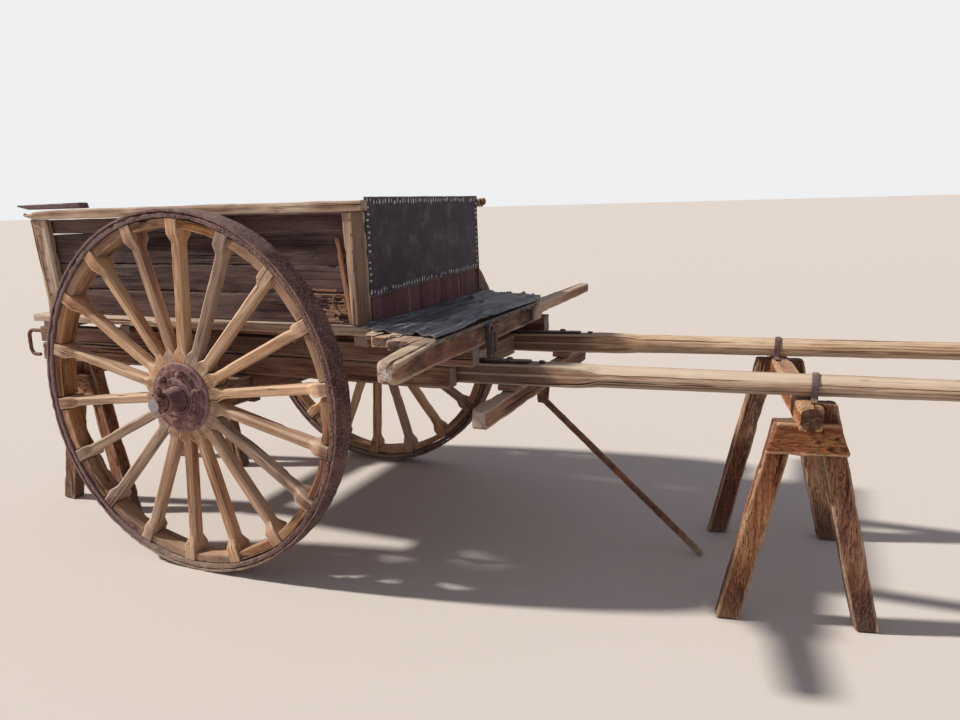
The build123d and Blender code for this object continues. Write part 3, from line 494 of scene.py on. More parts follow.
class Finish:
    """A material's node tree, built by short calls."""

    def __init__(self, name):
        self.material = bpy.data.materials.new(name)
        self.material.use_nodes = True
        self.tree = self.material.node_tree
        self.shader = self.tree.nodes["Principled BSDF"]

    def link(self, value, socket):
        if isinstance(value, bpy.types.NodeSocket):
            self.tree.links.new(value, socket)
        else:
            socket.default_value = value

    def attribute(self, label, output="Vector"):
        node = self.tree.nodes.new("ShaderNodeAttribute")
        node.attribute_name = label
        return node.outputs[output]

    def math(self, operation, *values, clamp=False):
        node = self.tree.nodes.new("ShaderNodeMath")
        node.operation = operation
        node.use_clamp = clamp
        for value, socket in zip(values, node.inputs):
            self.link(value, socket)
        return node.outputs[0]

    def vector(self, operation, *values):
        node = self.tree.nodes.new("ShaderNodeVectorMath")
        node.operation = operation
        for value, socket in zip(values, node.inputs):
            self.link(value, socket)
        return node.outputs[0]

    def split(self, vector):
        node = self.tree.nodes.new("ShaderNodeSeparateXYZ")
        self.link(vector, node.inputs[0])
        return node.outputs

    def noise(self, vector, scale=1.0, detail=3.0, roughness=0.5, distortion=0.0):
        node = self.tree.nodes.new("ShaderNodeTexNoise")
        self.link(vector, node.inputs["Vector"])
        for label, value in (("Scale", scale), ("Detail", detail), ("Roughness", roughness),
                             ("Distortion", distortion)):
            node.inputs[label].default_value = value
        return node.outputs["Fac"]

    def cells(self, vector, scale, feature="F1", output="Distance"):
        node = self.tree.nodes.new("ShaderNodeTexVoronoi")
        node.feature = feature
        self.link(vector, node.inputs["Vector"])
        node.inputs["Scale"].default_value = scale
        return node.outputs[output]

    def jumbled(self, vector, scale, amount):
        """The vector, pushed about unevenly by up to half the amount."""
        node = self.tree.nodes.new("ShaderNodeTexNoise")
        self.link(vector, node.inputs["Vector"])
        node.inputs["Scale"].default_value = scale
        node.inputs["Detail"].default_value = 3.0
        push = self.vector("SUBTRACT", node.outputs["Color"], (0.5, 0.5, 0.5))
        return self.vector("ADD", vector, self.vector("MULTIPLY", push, (amount,) * 3))

    def rings(self, vector, scale, distortion):
        node = self.tree.nodes.new("ShaderNodeTexWave")
        node.wave_type = "RINGS"
        node.rings_direction = "X"
        self.link(vector, node.inputs["Vector"])
        for label, value in (("Scale", scale), ("Distortion", distortion), ("Detail", 2.0), ("Detail Scale", 0.6)):
            node.inputs[label].default_value = value
        return node.outputs["Fac"]

    def span(self, value, low, high, to_low=0.0, to_high=1.0, smooth=True):
        """The value's place between low and high, kept in the range."""
        node = self.tree.nodes.new("ShaderNodeMapRange")
        node.interpolation_type = "SMOOTHSTEP" if smooth else "LINEAR"
        for number, socket in zip((value, low, high, to_low, to_high), node.inputs):
            self.link(number, socket)
        return node.outputs[0]

    def ramp(self, value, *stops):
        """A colour from a list of (place, colour)."""
        node = self.tree.nodes.new("ShaderNodeValToRGB")
        while len(node.color_ramp.elements) < len(stops):
            node.color_ramp.elements.new(0.5)
        for element, (place, colour) in zip(node.color_ramp.elements, stops):
            element.position = place
            element.color = (*colour, 1)
        self.link(value, node.inputs[0])
        return node.outputs[0]

    def mix(self, share, first, second, blend="MIX"):
        node = self.tree.nodes.new("ShaderNodeMix")
        node.data_type = "RGBA"
        node.blend_type = blend
        self.link(share, node.inputs["Factor"])
        for value, label in ((first, "A"), (second, "B")):
            socket = [s for s in node.inputs if s.name == label and s.type == "RGBA"][0]
            self.link((*value, 1) if isinstance(value, tuple) else value, socket)
        return [s for s in node.outputs if s.type == "RGBA"][0]

    def finish(self, colour, roughness, height, relief, metallic=0.0, specular=0.3):
        """Colour, roughness and a bump of a height in metres."""
        bump = self.tree.nodes.new("ShaderNodeBump")
        bump.inputs["Distance"].default_value = relief
        bump.inputs["Strength"].default_value = 1.0
        self.link(height, bump.inputs["Height"])
        self.link(bump.outputs[0], self.shader.inputs["Normal"])
        self.link(colour, self.shader.inputs["Base Color"])
        self.link(roughness, self.shader.inputs["Roughness"])
        self.link(metallic, self.shader.inputs["Metallic"])
        self.shader.inputs["Specular IOR Level"].default_value = specular
        return self.material


dust_colour = (0.50, 0.37, 0.27)


def wood(name, dark, mid, light, bleached, streaks=0.5, checks=0.4, stain=0.35, dust=0.3, pitted=0.0, bleach_and_top_light=0.4,
         bare=0.5, relief=0.0016, ground=0.6, stain_and_shade_colour=(0.035, 0.018, 0.013), end_colour=None, variety=0.17):
    """Weathered wood: growth rings, fibres, dark checks, bleached and stained patches, worn edges and dust; tops are
    made paler partly by real bleaching and partly as painted light, and marks are real stains or painted shade by
    piece.

    variety is how much lighter or darker one timber may be than the next.
    """
    m = Finish(name)
    grain = m.attribute("grain")
    worn, upward, low = m.split(m.attribute("look"))
    ends, stains_and_painted_shade, tone = m.split(m.attribute("spots"))
    wander = m.noise(m.vector("MULTIPLY", grain, (1.6, 5, 5)), 1, 3)
    sway = m.math("MULTIPLY", m.math("SUBTRACT", wander, 0.5), 0.03)
    node = m.tree.nodes.new("ShaderNodeCombineXYZ")
    m.link(sway, node.inputs[1])
    m.link(sway, node.inputs[2])
    bent = m.vector("ADD", grain, node.outputs[0])
    knots = m.cells(m.vector("MULTIPLY", grain, (0.45, 1, 1)), 4.2)
    knot = m.span(knots, 0.045, 0.11, 1, 0)
    rings = m.rings(m.vector("MULTIPLY", bent, (0.12, 1, 1)), 62, 2.2)
    fibre = m.noise(m.vector("MULTIPLY", bent, (9, 330, 330)), 1, 4, 0.6)
    streak = m.noise(m.vector("MULTIPLY", bent, (2.4, 90, 90)), 1, 4, 0.6)
    broad = m.noise(m.vector("MULTIPLY", grain, (1.5, 9, 9)), 1, 5, 0.62, 0.4)
    slit = m.noise(m.vector("MULTIPLY", bent, (1.5, 46, 46)), 1, 2, 0.5)
    slit = m.span(m.math("ABSOLUTE", m.math("SUBTRACT", slit, 0.5)), 0.0, 0.016, 1, 0)
    where = m.noise(m.vector("MULTIPLY", grain, (4, 14, 14)), 1, 2)
    slit = m.math("MULTIPLY", slit, m.span(where, 0.64 - 0.2 * checks, 0.70))
    fine = m.math("ADD", m.math("MULTIPLY", m.math("SUBTRACT", streak, 0.5), 0.9 * streaks), 0.5)
    fine = m.math("ADD", fine, m.math("MULTIPLY", m.math("SUBTRACT", fibre, 0.5), 0.7 * streaks))
    fine = m.math("ADD", fine, m.math("MULTIPLY", m.math("SUBTRACT", rings, 0.5), 0.09 * streaks))
    fine = m.math("ADD", fine, m.math("MULTIPLY", m.math("SUBTRACT", broad, 0.5), 0.75))
    colour = m.ramp(fine, (0.39, dark), (0.50, mid), (0.61, light))
    # pale patches are real bleaching; the extra paleness on upward faces is painted light on the tops
    pale = m.span(m.math("ADD", m.noise(m.vector("MULTIPLY", grain, (2, 8, 8)), 1, 4, 0.6),
                         m.math("MULTIPLY", upward, 0.30 * bleach_and_top_light)), 0.48, 0.68, 0, bleach_and_top_light + 0.3)
    colour = m.mix(m.math("MULTIPLY", pale, m.span(fibre, 0.3, 0.62, 0.45, 1)), colour, bleached)
    blot = m.noise(m.vector("MULTIPLY", grain, (3, 13, 13)), 1, 5, 0.65, 0.6)
    stained = m.span(blot, 0.56 + 0.12 * (1 - stain), 0.70 + 0.12 * (1 - stain), 0, 0.8 * stain)
    # marks carry real stains and, on some pieces, painted shade
    stains_and_painted_shade = m.math("MULTIPLY", stains_and_painted_shade, m.span(m.math("ADD", stains_and_painted_shade, blot), 0.75, 1.1))
    colour = m.mix(m.math("MAXIMUM", stained, stains_and_painted_shade), colour, stain_and_shade_colour)
    colour = m.mix(m.math("MULTIPLY", knot, 0.7), colour, tuple(0.4 * c for c in dark))
    height = m.math("ADD", m.math("MULTIPLY", fibre, 0.3), m.math("MULTIPLY", streak, 0.5))
    height = m.math("SUBTRACT", height, m.math("MULTIPLY", slit, 0.7))
    if pitted:
        dash = m.noise(m.vector("MULTIPLY", grain, (34, 170, 170)), 1, 5, 0.7)
        chip = m.noise(m.vector("MULTIPLY", grain, (60, 210, 210)), 1, 3, 0.65)
        patch = m.span(m.noise(m.vector("MULTIPLY", grain, (3.2, 7, 7)), 1, 3), 0.38, 0.56, 0.3, 1)
        pit = m.math("MULTIPLY", m.span(dash, 0.48, 0.36), m.math("MULTIPLY", patch, pitted))
        colour = m.mix(m.math("MULTIPLY", pit, 0.75), colour, tuple(0.7 * c for c in dark))
        crumb = m.math("MULTIPLY", m.span(chip, 0.55, 0.64), m.math("MULTIPLY", patch, 0.7 * pitted))
        colour = m.mix(crumb, colour, tuple(1.15 * c for c in light))
        height = m.math("ADD", height, m.math("MULTIPLY", m.math("SUBTRACT", dash, pit), 1.4))
        height = m.math("ADD", height, m.math("MULTIPLY", crumb, 0.6))
    edge = m.math("MULTIPLY", m.span(m.math("ADD", worn, m.math("MULTIPLY", streak, 0.6)), 0.85, 1.4), bare)
    colour = m.mix(edge, colour, bleached)
    colour = m.mix(m.math("MULTIPLY", slit, 0.85), colour, tuple(0.2 * c for c in dark))
    cut = m.rings(m.vector("MULTIPLY", grain, (0, 1, 1)), 26, 1.2)
    cut = m.math("ADD", m.math("MULTIPLY", cut, 0.3), m.math("MULTIPLY", m.noise(grain, 130, 4, 0.65), 0.7))
    ended = m.ramp(cut, (0.36, tuple(0.66 * c for c in (end_colour or bleached))), (0.60, end_colour or bleached))
    colour = m.mix(m.math("MULTIPLY", ends, 0.7), colour, ended)
    settled = m.noise(grain, 26, 4, 0.7)
    dusty = m.math("MULTIPLY", m.span(m.math("ADD", upward, settled), 1.1, 1.6), dust)
    splashed = m.math("MULTIPLY", m.span(m.math("ADD", low, settled), 0.8, 1.4), ground)
    colour = m.mix(m.math("MAXIMUM", dusty, splashed), colour, dust_colour)
    shade = m.span(tone, -1, 1, 1 - variety, 1 + 0.8 * variety, smooth=False)
    node = m.tree.nodes.new("ShaderNodeHueSaturation")
    m.link(m.span(tone, -0.8, 0.6, 1 - variety, 1 + 0.15 * variety, smooth=False), node.inputs["Saturation"])
    m.link(shade, node.inputs["Value"])
    m.link(colour, node.inputs["Color"])
    return m.finish(node.outputs[0], m.span(fibre, 0.2, 0.8, 0.7, 0.92), height, relief, specular=0.2)


def iron(name, dark, rust, bloom, sheen, pits=0.5, scale=1.0, dust=0.25, relief=0.0016, metallic=0.25,
         ground=0.7, roughness=(0.5, 0.9), sheen_part=0.7, rust_and_painted_light_skew=0.0, rust_and_painted_light_reach=0.7, flakes=0.0):
    """Rusty iron: scale patches of dark oxide and orange rust, pits, and a smoother worn skin.

    rust_and_painted_light_skew is how much the pitted rust gains over the smooth skin from
    rust_and_painted_light_reach behind the piece's middle to as far in front of it; this is partly real rust and
    partly painted light, the back made paler as if lit and the front darker as if in shade. flakes are pale specks on
    the rust.
    """
    m = Finish(name)
    place = m.attribute("grain")
    worn, upward, low = m.split(m.attribute("look"))
    broad = m.noise(place, 9 * scale, 5, 0.62, 0.5)
    grit = m.noise(place, 110 * scale, 4, 0.65)
    speck = m.noise(place, 420 * scale, 2, 0.6)
    mixed = m.math("ADD", m.math("MULTIPLY", broad, 0.55), m.math("MULTIPLY", grit, 0.45))
    colour = m.ramp(mixed, (0.40, dark), (0.50, rust), (0.60, bloom))
    colour = m.mix(m.span(speck, 0.4, 0.75, 0, 0.35), colour, dark)
    patchy = m.noise(place, 14 * scale, 5, 0.65)
    # painted light: the back reads paler as if lit and the front darker as if in shade, partly real rust
    if rust_and_painted_light_skew:
        forward = m.span(m.split(place)[0], -rust_and_painted_light_reach, rust_and_painted_light_reach, rust_and_painted_light_skew, -rust_and_painted_light_skew)
        patchy = m.math("ADD", patchy, forward)
    smooth = m.math("MULTIPLY", m.span(patchy, 0.46, 0.6), sheen_part)
    colour = m.mix(smooth, colour, sheen)
    holes = m.cells(m.jumbled(place, 70 * scale, 0.030 / scale), 72 * scale)
    holes = m.math("ADD", holes, m.math("MULTIPLY", m.math("SUBTRACT", grit, 0.5), 0.9))
    mask = m.math("MULTIPLY", m.span(m.noise(place, 13 * scale, 3), 0.40, 0.58),
                  m.math("SUBTRACT", 1.0, m.math("MULTIPLY", smooth, 0.75)))
    pit = m.math("MULTIPLY", m.span(holes, 0.10, 0.42, 1, 0), m.math("MULTIPLY", mask, pits))
    colour = m.mix(m.math("MULTIPLY", pit, 0.75), colour, tuple(0.4 * c for c in dark))
    if flakes:
        flake = m.span(m.noise(place, 95, 4, 0.8), 0.50, 0.57)
        flake = m.math("MULTIPLY", flake, m.math("SUBTRACT", 1.0, smooth))
        colour = m.mix(m.math("MULTIPLY", flake, flakes), colour, (0.42, 0.30, 0.28))
        pit = m.math("SUBTRACT", pit, m.math("MULTIPLY", flake, 0.8))
    bright = m.math("MULTIPLY", m.span(m.math("ADD", worn, grit), 1.25, 1.6), 0.5)
    colour = m.mix(bright, colour, bloom)
    settled = m.noise(place, 30, 4, 0.7)
    dusty = m.math("MULTIPLY", m.span(m.math("ADD", upward, settled), 1.1, 1.6), dust)
    splashed = m.math("MULTIPLY", m.span(m.math("ADD", low, settled), 0.8, 1.4), ground)
    colour = m.mix(m.math("MAXIMUM", dusty, splashed), colour, dust_colour)
    height = m.math("ADD", m.math("MULTIPLY", grit, 0.8), m.math("MULTIPLY", speck, 0.2))
    height = m.math("SUBTRACT", height, m.math("MULTIPLY", pit, 0.9))
    metal = m.math("MULTIPLY", smooth, metallic)
    return m.finish(colour, m.span(grit, 0.3, 0.7, roughness[0], roughness[1]), height, relief, metal, 0.35)


grey_wood = wood("grey_wood", (0.036, 0.016, 0.016), (0.093, 0.047, 0.043), (0.170, 0.098, 0.086),
                 (0.190, 0.130, 0.112), streaks=0.5, checks=0.7, stain=0.5, bare=0.6)
maroon_wood = wood("maroon_wood", (0.105, 0.042, 0.048), (0.145, 0.065, 0.070), (0.192, 0.100, 0.104),
                   (0.230, 0.150, 0.140), streaks=0.06, checks=0.1, stain=0.15, bleach_and_top_light=0.1, variety=0.06)
reddish_wood = wood("reddish_wood", (0.130, 0.045, 0.022), (0.270, 0.115, 0.055), (0.400, 0.200, 0.105),
                    (0.450, 0.290, 0.180), streaks=0.5)
pale_wood = wood("pale_wood", (0.215, 0.104, 0.058), (0.435, 0.262, 0.158), (0.615, 0.425, 0.280),
                 (0.690, 0.545, 0.410), streaks=0.5, checks=0.7, stain=0.45, dust=0.3, bleach_and_top_light=0.55,
                 end_colour=(0.50, 0.42, 0.34), stain_and_shade_colour=(0.085, 0.040, 0.022))
# Painted shade: the deck boards' cut ends get a dark end-grain colour, as if in shadow; the bolsters share it.
deck_wood = wood("deck_wood", (0.150, 0.070, 0.042), (0.370, 0.220, 0.138), (0.570, 0.385, 0.250),
                 (0.640, 0.490, 0.360), streaks=0.5, checks=0.7, stain=0.6, dust=0.2, bleach_and_top_light=0.45,
                 end_colour=(0.105, 0.078, 0.074), stain_and_shade_colour=(0.060, 0.032, 0.026))
beam_wood = wood("beam_wood", (0.108, 0.042, 0.025), (0.228, 0.102, 0.058), (0.345, 0.178, 0.107),
                 (0.640, 0.500, 0.350), streaks=0.35, checks=0.8, stain=0.6, dust=0.45, bleach_and_top_light=0.65, bare=0.5,
                 end_colour=(0.60, 0.54, 0.48), relief=0.0022)
frame_wood = wood("frame_wood", (0.086, 0.034, 0.022), (0.214, 0.092, 0.055), (0.335, 0.166, 0.102),
                  (0.400, 0.280, 0.190), streaks=0.4, checks=0.7, stain=0.5, end_colour=(0.42, 0.38, 0.35),
                  relief=0.0022)
shaft_wood = wood("shaft_wood", (0.294, 0.143, 0.080), (0.484, 0.290, 0.172), (0.636, 0.440, 0.292),
                  (0.710, 0.570, 0.410), streaks=0.6, checks=0.8, stain=0.25, dust=0.2, bleach_and_top_light=0.6,
                  stain_and_shade_colour=(0.088, 0.036, 0.026))
trestle_wood = wood("trestle_wood", (0.095, 0.026, 0.011), (0.265, 0.090, 0.038), (0.450, 0.208, 0.098),
                    (0.580, 0.370, 0.220), streaks=0.3, checks=0.4, stain=0.3, pitted=1.0, relief=0.0040,
                    bleach_and_top_light=0.3, bare=0.9, ground=0.2, end_colour=(0.20, 0.12, 0.08),
                    stain_and_shade_colour=(0.070, 0.022, 0.012))
spoke_wood = wood("spoke_wood", (0.200, 0.083, 0.043), (0.390, 0.205, 0.113), (0.575, 0.355, 0.210),
                  (0.660, 0.470, 0.305), streaks=0.4, checks=0.4, stain=0.35, dust=0.2, bleach_and_top_light=0.4, bare=0.6,
                  stain_and_shade_colour=(0.075, 0.034, 0.020), variety=0.26, relief=0.0020)
felloe_wood = wood("felloe_wood", (0.130, 0.045, 0.018), (0.310, 0.135, 0.055), (0.460, 0.245, 0.115),
                   (0.520, 0.330, 0.190), streaks=0.5, checks=0.5, stain=0.4, dust=0.2, pitted=0.3)
# tyre: pale smooth skin towards the back is painted light; darker rust towards the front is partly real, partly
# painted shade
tyre_iron = iron("tyre_iron", (0.046, 0.019, 0.022), (0.160, 0.070, 0.066), (0.360, 0.180, 0.140),
                 (0.225, 0.155, 0.162), pits=1.0, relief=0.0095, rust_and_painted_light_skew=0.17, sheen_part=0.85, metallic=0.1,
                 roughness=(0.60, 0.95), flakes=0.85)
# hub: pinker rust towards the back is a painted highlight, dark shiny skin towards the front painted shade
hub_iron = iron("hub_iron", (0.056, 0.023, 0.025), (0.290, 0.125, 0.104), (0.540, 0.325, 0.275),
                (0.112, 0.060, 0.082), pits=0.7, scale=1.5, relief=0.0030, sheen_part=0.75, flakes=0.3,
                rust_and_painted_light_skew=-0.10, rust_and_painted_light_reach=0.13)
rusty_iron = iron("rusty_iron", (0.045, 0.018, 0.012), (0.180, 0.070, 0.035), (0.330, 0.140, 0.060),
                  (0.160, 0.085, 0.065), pits=0.7, scale=1.5)
black_iron = iron("black_iron", (0.020, 0.014, 0.018), (0.052, 0.036, 0.042), (0.140, 0.085, 0.078),
                  (0.100, 0.090, 0.115), pits=0.5, scale=1.4)
strap_iron = iron("strap_iron", (0.045, 0.024, 0.028), (0.110, 0.060, 0.060), (0.190, 0.105, 0.090),
                  (0.150, 0.105, 0.120), pits=0.6, scale=1.4)


def slate():
    """Dark painted board with chalky smears."""
    m = Finish("slate_paint")
    place = m.attribute("grain")
    worn, upward, low = m.split(m.attribute("look"))
    smear = m.noise(m.vector("MULTIPLY", place, (9, 9, 9)), 1, 6, 0.7)
    grit = m.noise(place, 150, 4, 0.65)
    colour = m.ramp(smear, (0.38, (0.021, 0.013, 0.023)), (0.52, (0.037, 0.026, 0.040)),
                    (0.68, (0.080, 0.064, 0.082)))
    colour = m.mix(m.span(grit, 0.5, 0.75, 0, 0.35), colour, (0.12, 0.10, 0.11))
    scuff = m.math("MULTIPLY", m.span(grit, 0.50, 0.58), m.span(smear, 0.52, 0.62, 0, 0.35))
    colour = m.mix(scuff, colour, (0.20, 0.17, 0.17))
    edge = m.span(m.math("ADD", worn, m.math("MULTIPLY", grit, 0.6)), 0.95, 1.4, 0, 0.7)
    colour = m.mix(edge, colour, (0.24, 0.18, 0.15))
    return m.finish(colour, m.span(grit, 0.3, 0.7, 0.55, 0.85), grit, 0.0008, specular=0.3)


def cover():
    """Dark blue-grey sheet; its pale wavy streaks along the folds are painted highlights."""
    m = Finish("sheet_paint")
    place = m.attribute("grain")
    worn, upward, low = m.split(m.attribute("look"))
    streak = m.noise(m.vector("MULTIPLY", place, (30, 2.6, 9)), 1, 5, 0.58, 1.0)
    grit = m.noise(place, 180, 4, 0.6)
    broad = m.noise(place, 7, 4, 0.6)
    # painted highlights: the palest streak colours stand in for light catching the folds
    colour = m.ramp(streak, (0.44, (0.006, 0.007, 0.011)), (0.53, (0.022, 0.020, 0.034)),
                    (0.60, (0.068, 0.080, 0.112)), (0.68, (0.25, 0.28, 0.34)))
    colour = m.mix(m.span(broad, 0.54, 0.72, 0, 0.35), colour, (0.17, 0.14, 0.13))
    colour = m.mix(m.span(worn, 0.4, 1.0, 0, 0.5), colour, (0.20, 0.15, 0.13))
    height = m.math("ADD", m.math("MULTIPLY", streak, 1.4), m.math("MULTIPLY", grit, 0.25))
    return m.finish(colour, m.span(grit, 0.3, 0.7, 0.45, 0.75), height, 0.005, specular=0.35)


def plain(name, colour, roughness=0.8):
    """One colour, a little uneven."""
    m = Finish(name)
    grit = m.noise(m.attribute("grain"), 90, 4, 0.6)
    tint = m.mix(m.span(grit, 0.35, 0.7, 0, 0.35), colour, tuple(0.55 * c for c in colour))
    return m.finish(tint, roughness, grit, 0.0008, specular=0.2)


slate_paint = slate()
sheet_paint = cover()
chalk = plain("chalk", (0.62, 0.62, 0.60), 0.9)
worn_steel = plain("worn_steel", (0.36, 0.32, 0.33), 0.6)


# Sizes taken over from the CAD pieces
floor_level = cad_low[2]
near = -1
far = 1


def node_range(node, axis):
    """Where a CAD node starts and ends along an axis, 0 to 2."""
    low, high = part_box(node)
    return low[axis], high[axis]


def table(*rows):
    """Turns rows of numbers in millimetres into columns in metres."""
    return np.array(rows, float).T / 1000


deck_high = node_range("platform_boards", 2)[1]

# Box
plank_finish = dict(radius=0.004, checks=7, check_depth=0.009, check_width=0.0035, chips=0.9, hew=0.0022,
                    fibre=0.0007)
for side_name, seed in (("right", 11), ("left", 12)):
    boards(f"box_side_{side_name}", (f"side_planks_{side_name}",), "x", grey_wood, "grey_planks", seed,
           **plank_finish)
boards("box_front_boards", ("front_wall_boards",), "z", maroon_wood, "grey_planks", 21, radius=0.004, checks=3,
       chips=0.8, hew=0.002)
boards("box_rear_boards", ("rear_wall_boards",), "y", grey_wood, "grey_planks", 22, **plank_finish)
boards("box_floor_boards", ("floor_boards",), "x", grey_wood, "grey_planks", 23, step=0.05, cell=0.03, radius=0.003,
       checks=3)
boards("box_ledges", ("sill_ledges",), "x", pale_wood, "pale_wood", 24, radius=0.011, checks=8, chips=0.9,
       hew=0.003, end_round=0.007)

ledge_top = node_range("sill_ledges", 2)[1]
rail_low, rail_high = node_range("top_rails", 2)
rail_tail, rail_nose = node_range("top_rails", 0)
plank_outer = node_range("side_planks_left", 1)[1]
rail_outer = node_range("top_rails", 1)[1]
wall_front = axle_x + 0.797
wall_rear = axle_x - 1.080

skin = Skin("box_corner_posts", 31)
for side in (near, far):
    inner = side * (plank_outer + 0.0003)
    outer = side * (plank_outer + 0.040)
    for wall, foot_back, foot_front, head_back, head_front, hewn_along, hewn_across in (
            (wall_front, -0.063, 0.011, -0.085, 0.007, 0.052, 0.034),
            (wall_rear, 0.034, 0.132, -0.024, 0.080, 0.014, 0.008)):
        foot, head = [[(wall + back, inner), (wall + back, outer), (wall + front - hewn_along, outer),
                       (wall + front, outer - side * hewn_across), (wall + front, inner)]
                      for back, front in ((foot_back, foot_front), (head_back, head_front))]
        # Painted shade: the hewn front corner and the front face, turned away from the light, are stained darker.
        upright(skin, foot, head, ledge_top, rail_low, radius=0.005, checks=5, cell=0.008, step=0.018, chips=1.2,
                hew=0.0022, fibre=0.0009, check_depth=0.009,
                stain=lambda place, hewn=wall + foot_front - hewn_along: 0.66 * (place[:, 1] > hewn + 0.003))
skin.make(pale_wood, "cart", ("corner_posts",))

skin = Skin("box_side_battens", 32)
batten_low, batten_high = node_range("side_battens", 2)
for side in (near, far):
    y = (side * (plank_outer + 0.0003), side * (plank_outer + 0.016))
    foot, head = [[(wall_front + x[0], y[0]), (wall_front + x[1], y[0]), (wall_front + x[1], y[1]),
                   (wall_front + x[0], y[1])] for x in ((-0.091, -0.072), (-0.140, -0.121))]
    upright(skin, foot, head, batten_low, batten_high, radius=0.003, cell=0.006, chips=0.8, splinter=(0, 0.012))
skin.make(reddish_wood, "cart", ("side_battens",))

skin = Skin("box_top_rails", 33)
tail = table((-60, 18, 24), (10, 0, 33), (20, 0, 40), (220, 0, 48))
for side in (near, far):
    rail_inner = plank_outer - 0.028

    def rail_section(share):
        x = rail_tail + share * (rail_nose - rail_tail)
        low = rail_low + np.interp(x - wall_rear, tail[0], tail[1])
        high = rail_low + np.interp(x - wall_rear, tail[0], tail[2])
        inner = rail_inner if x < wall_front else plank_outer + 0.001
        return counter_clockwise([(side * inner, low), (side * rail_outer, low), (side * rail_outer, high),
                                  (side * inner, high)])

    run = rail_nose - rail_tail
    cut = wall_front - rail_tail
    seam = cut - 0.088
    timber(skin, (rail_tail, 0, 0), (rail_nose, 0, 0), Y, rail_section, radius=0.009, checks=9, chips=1.0,
           hew=0.0028, splinter=(0.035, 0), extra=(0.07, 0.08, seam - 0.003, seam, seam + 0.003, cut - 0.001,
                                                   cut + 0.001), cell=0.011,
           stain=lambda place: 0.95 * (np.abs(place[:, 0] - seam) < 0.0015))
skin.make(pale_wood, "cart", ("top_rails",))

# Dark board on the front wall, bare but for a border of chalky dabs
panel_high = node_range("front_panel", 2)[1]
panel_face = node_range("front_panel", 0)[1]
panel_foot = node_range("front_panel", 2)[0]
panel_skew = 0.027
skin = Skin("box_front_board", 34)


def panel_section(share):
    foot = panel_foot + panel_skew * share
    return [(foot, wall_front), (panel_high, wall_front), (panel_high, panel_face), (foot, panel_face)]


timber(skin, (0, -plank_outer, 0), (0, plank_outer, 0), Z, panel_section, radius=0.0015, cell=0.02, step=0.03,
       hew=0.0008, fibre=0.0002, chips=0.35, end_round=0.002, cap_rough=0.0002)
skin.make(slate_paint, "cart", ("front_panel",))


def dab(skin, centre, normal, long, width, thick=0.0012, sides=10):
    """A round-edged blot of paint; long is half its length as a vector, width half its width."""
    centre, normal, long = [np.asarray(v, float) for v in (centre, normal, long)]
    side = np.cross(normal, unit(long)) * width
    turn = np.linspace(0, 2 * pi, sides, endpoint=False)
    spread = (1 + 0.3 * skin.random.uniform(-1, 1, sides))[:, None]
    rim = (np.cos(turn)[:, None] * long + np.sin(turn)[:, None] * side) * spread
    points = [centre + rim, centre + rim * 0.72 + normal * thick, centre[None] + normal * thick * 1.1]
    faces = [(i, (i + 1) % sides, sides + (i + 1) % sides, sides + i) for i in range(sides)]
    faces += [(sides + i, sides + (i + 1) % sides, 2 * sides) for i in range(sides)]
    skin.add(np.concatenate(points), faces)


skin = Skin("board_border_dabs", 35)
for edge, into in (("top", -Z), ("foot", Z), ("right", Y), ("left", -Y)):
    run = 2 * plank_outer if edge in ("top", "foot") else panel_high - panel_foot
    for place in np.arange(0.018, run - 0.02, 0.025):
        depth = skin.random.uniform(0.015, 0.022)
        if edge in ("top", "foot"):
            y = -plank_outer + place
            z = panel_high - depth if edge == "top" else panel_foot + panel_skew * place / run + depth
        else:
            y = (plank_outer - depth) * (1 if edge == "left" else -1)
            z = panel_foot + panel_skew * (edge == "left") + place
        spot = (panel_face - 0.0012, y + skin.random.uniform(-0.003, 0.003), z + skin.random.uniform(-0.003, 0.003))
        if skin.random.random() > 0.08 and z < panel_high - 0.01:
            lean = into * skin.random.uniform(0.007, 0.014) + Y * skin.random.uniform(-0.003, 0.003)
            dab(skin, spot, X, lean, skin.random.uniform(0.0036, 0.0068))
skin.make(chalk, "cart", ())

# Splinters and a curled strip on the near side's lowest planks, torn shards at the platform's near end
skin = Skin("plank_splinters", 36)
for index in range(26):
    x = axle_x + skin.random.uniform(0.50, 0.66)
    z = skin.random.uniform(1.112, 1.262)
    length = skin.random.uniform(0.05, 0.15)
    tilt = skin.random.uniform(-0.012, 0.012)
    out = skin.random.uniform(0.0005, 0.006)
    sliver(skin, (x, -plank_outer - 0.001, z), (x + length, -plank_outer - out, z + tilt),
           skin.random.uniform(0.006, 0.016), 0.0035)
turn = np.linspace(-0.4, 4.2, 40)
curl = np.stack((axle_x + 0.655 + 0.030 * np.cos(turn), -plank_outer - 0.004 - 0.004 * turn / 4,
                 1.192 + 0.034 * np.sin(turn)), -1)
tube(skin, curl, Y, 0.0028, sides=8)
skin.make(reddish_wood, "cart", ())

skin = Skin("deck_shards", 37)
for index in range(7):
    x = axle_x + skin.random.uniform(0.92, 1.15)
    y = np.interp(x - axle_x, (0.811, 0.930, 1.200), (-0.70, -0.79, -0.83))
    length = skin.random.uniform(0.08, 0.20)
    z = deck_high + skin.random.uniform(0.001, 0.006)
    turn = skin.random.uniform(-0.25, 0.25)
    start = np.array((x, y - skin.random.uniform(0.0, 0.05), z))
    sliver(skin, start, start + length * np.array((sin(turn), cos(turn), 0.01)),
           0.004, skin.random.uniform(0.018, 0.045))
skin.make(pale_wood, "cart", ())

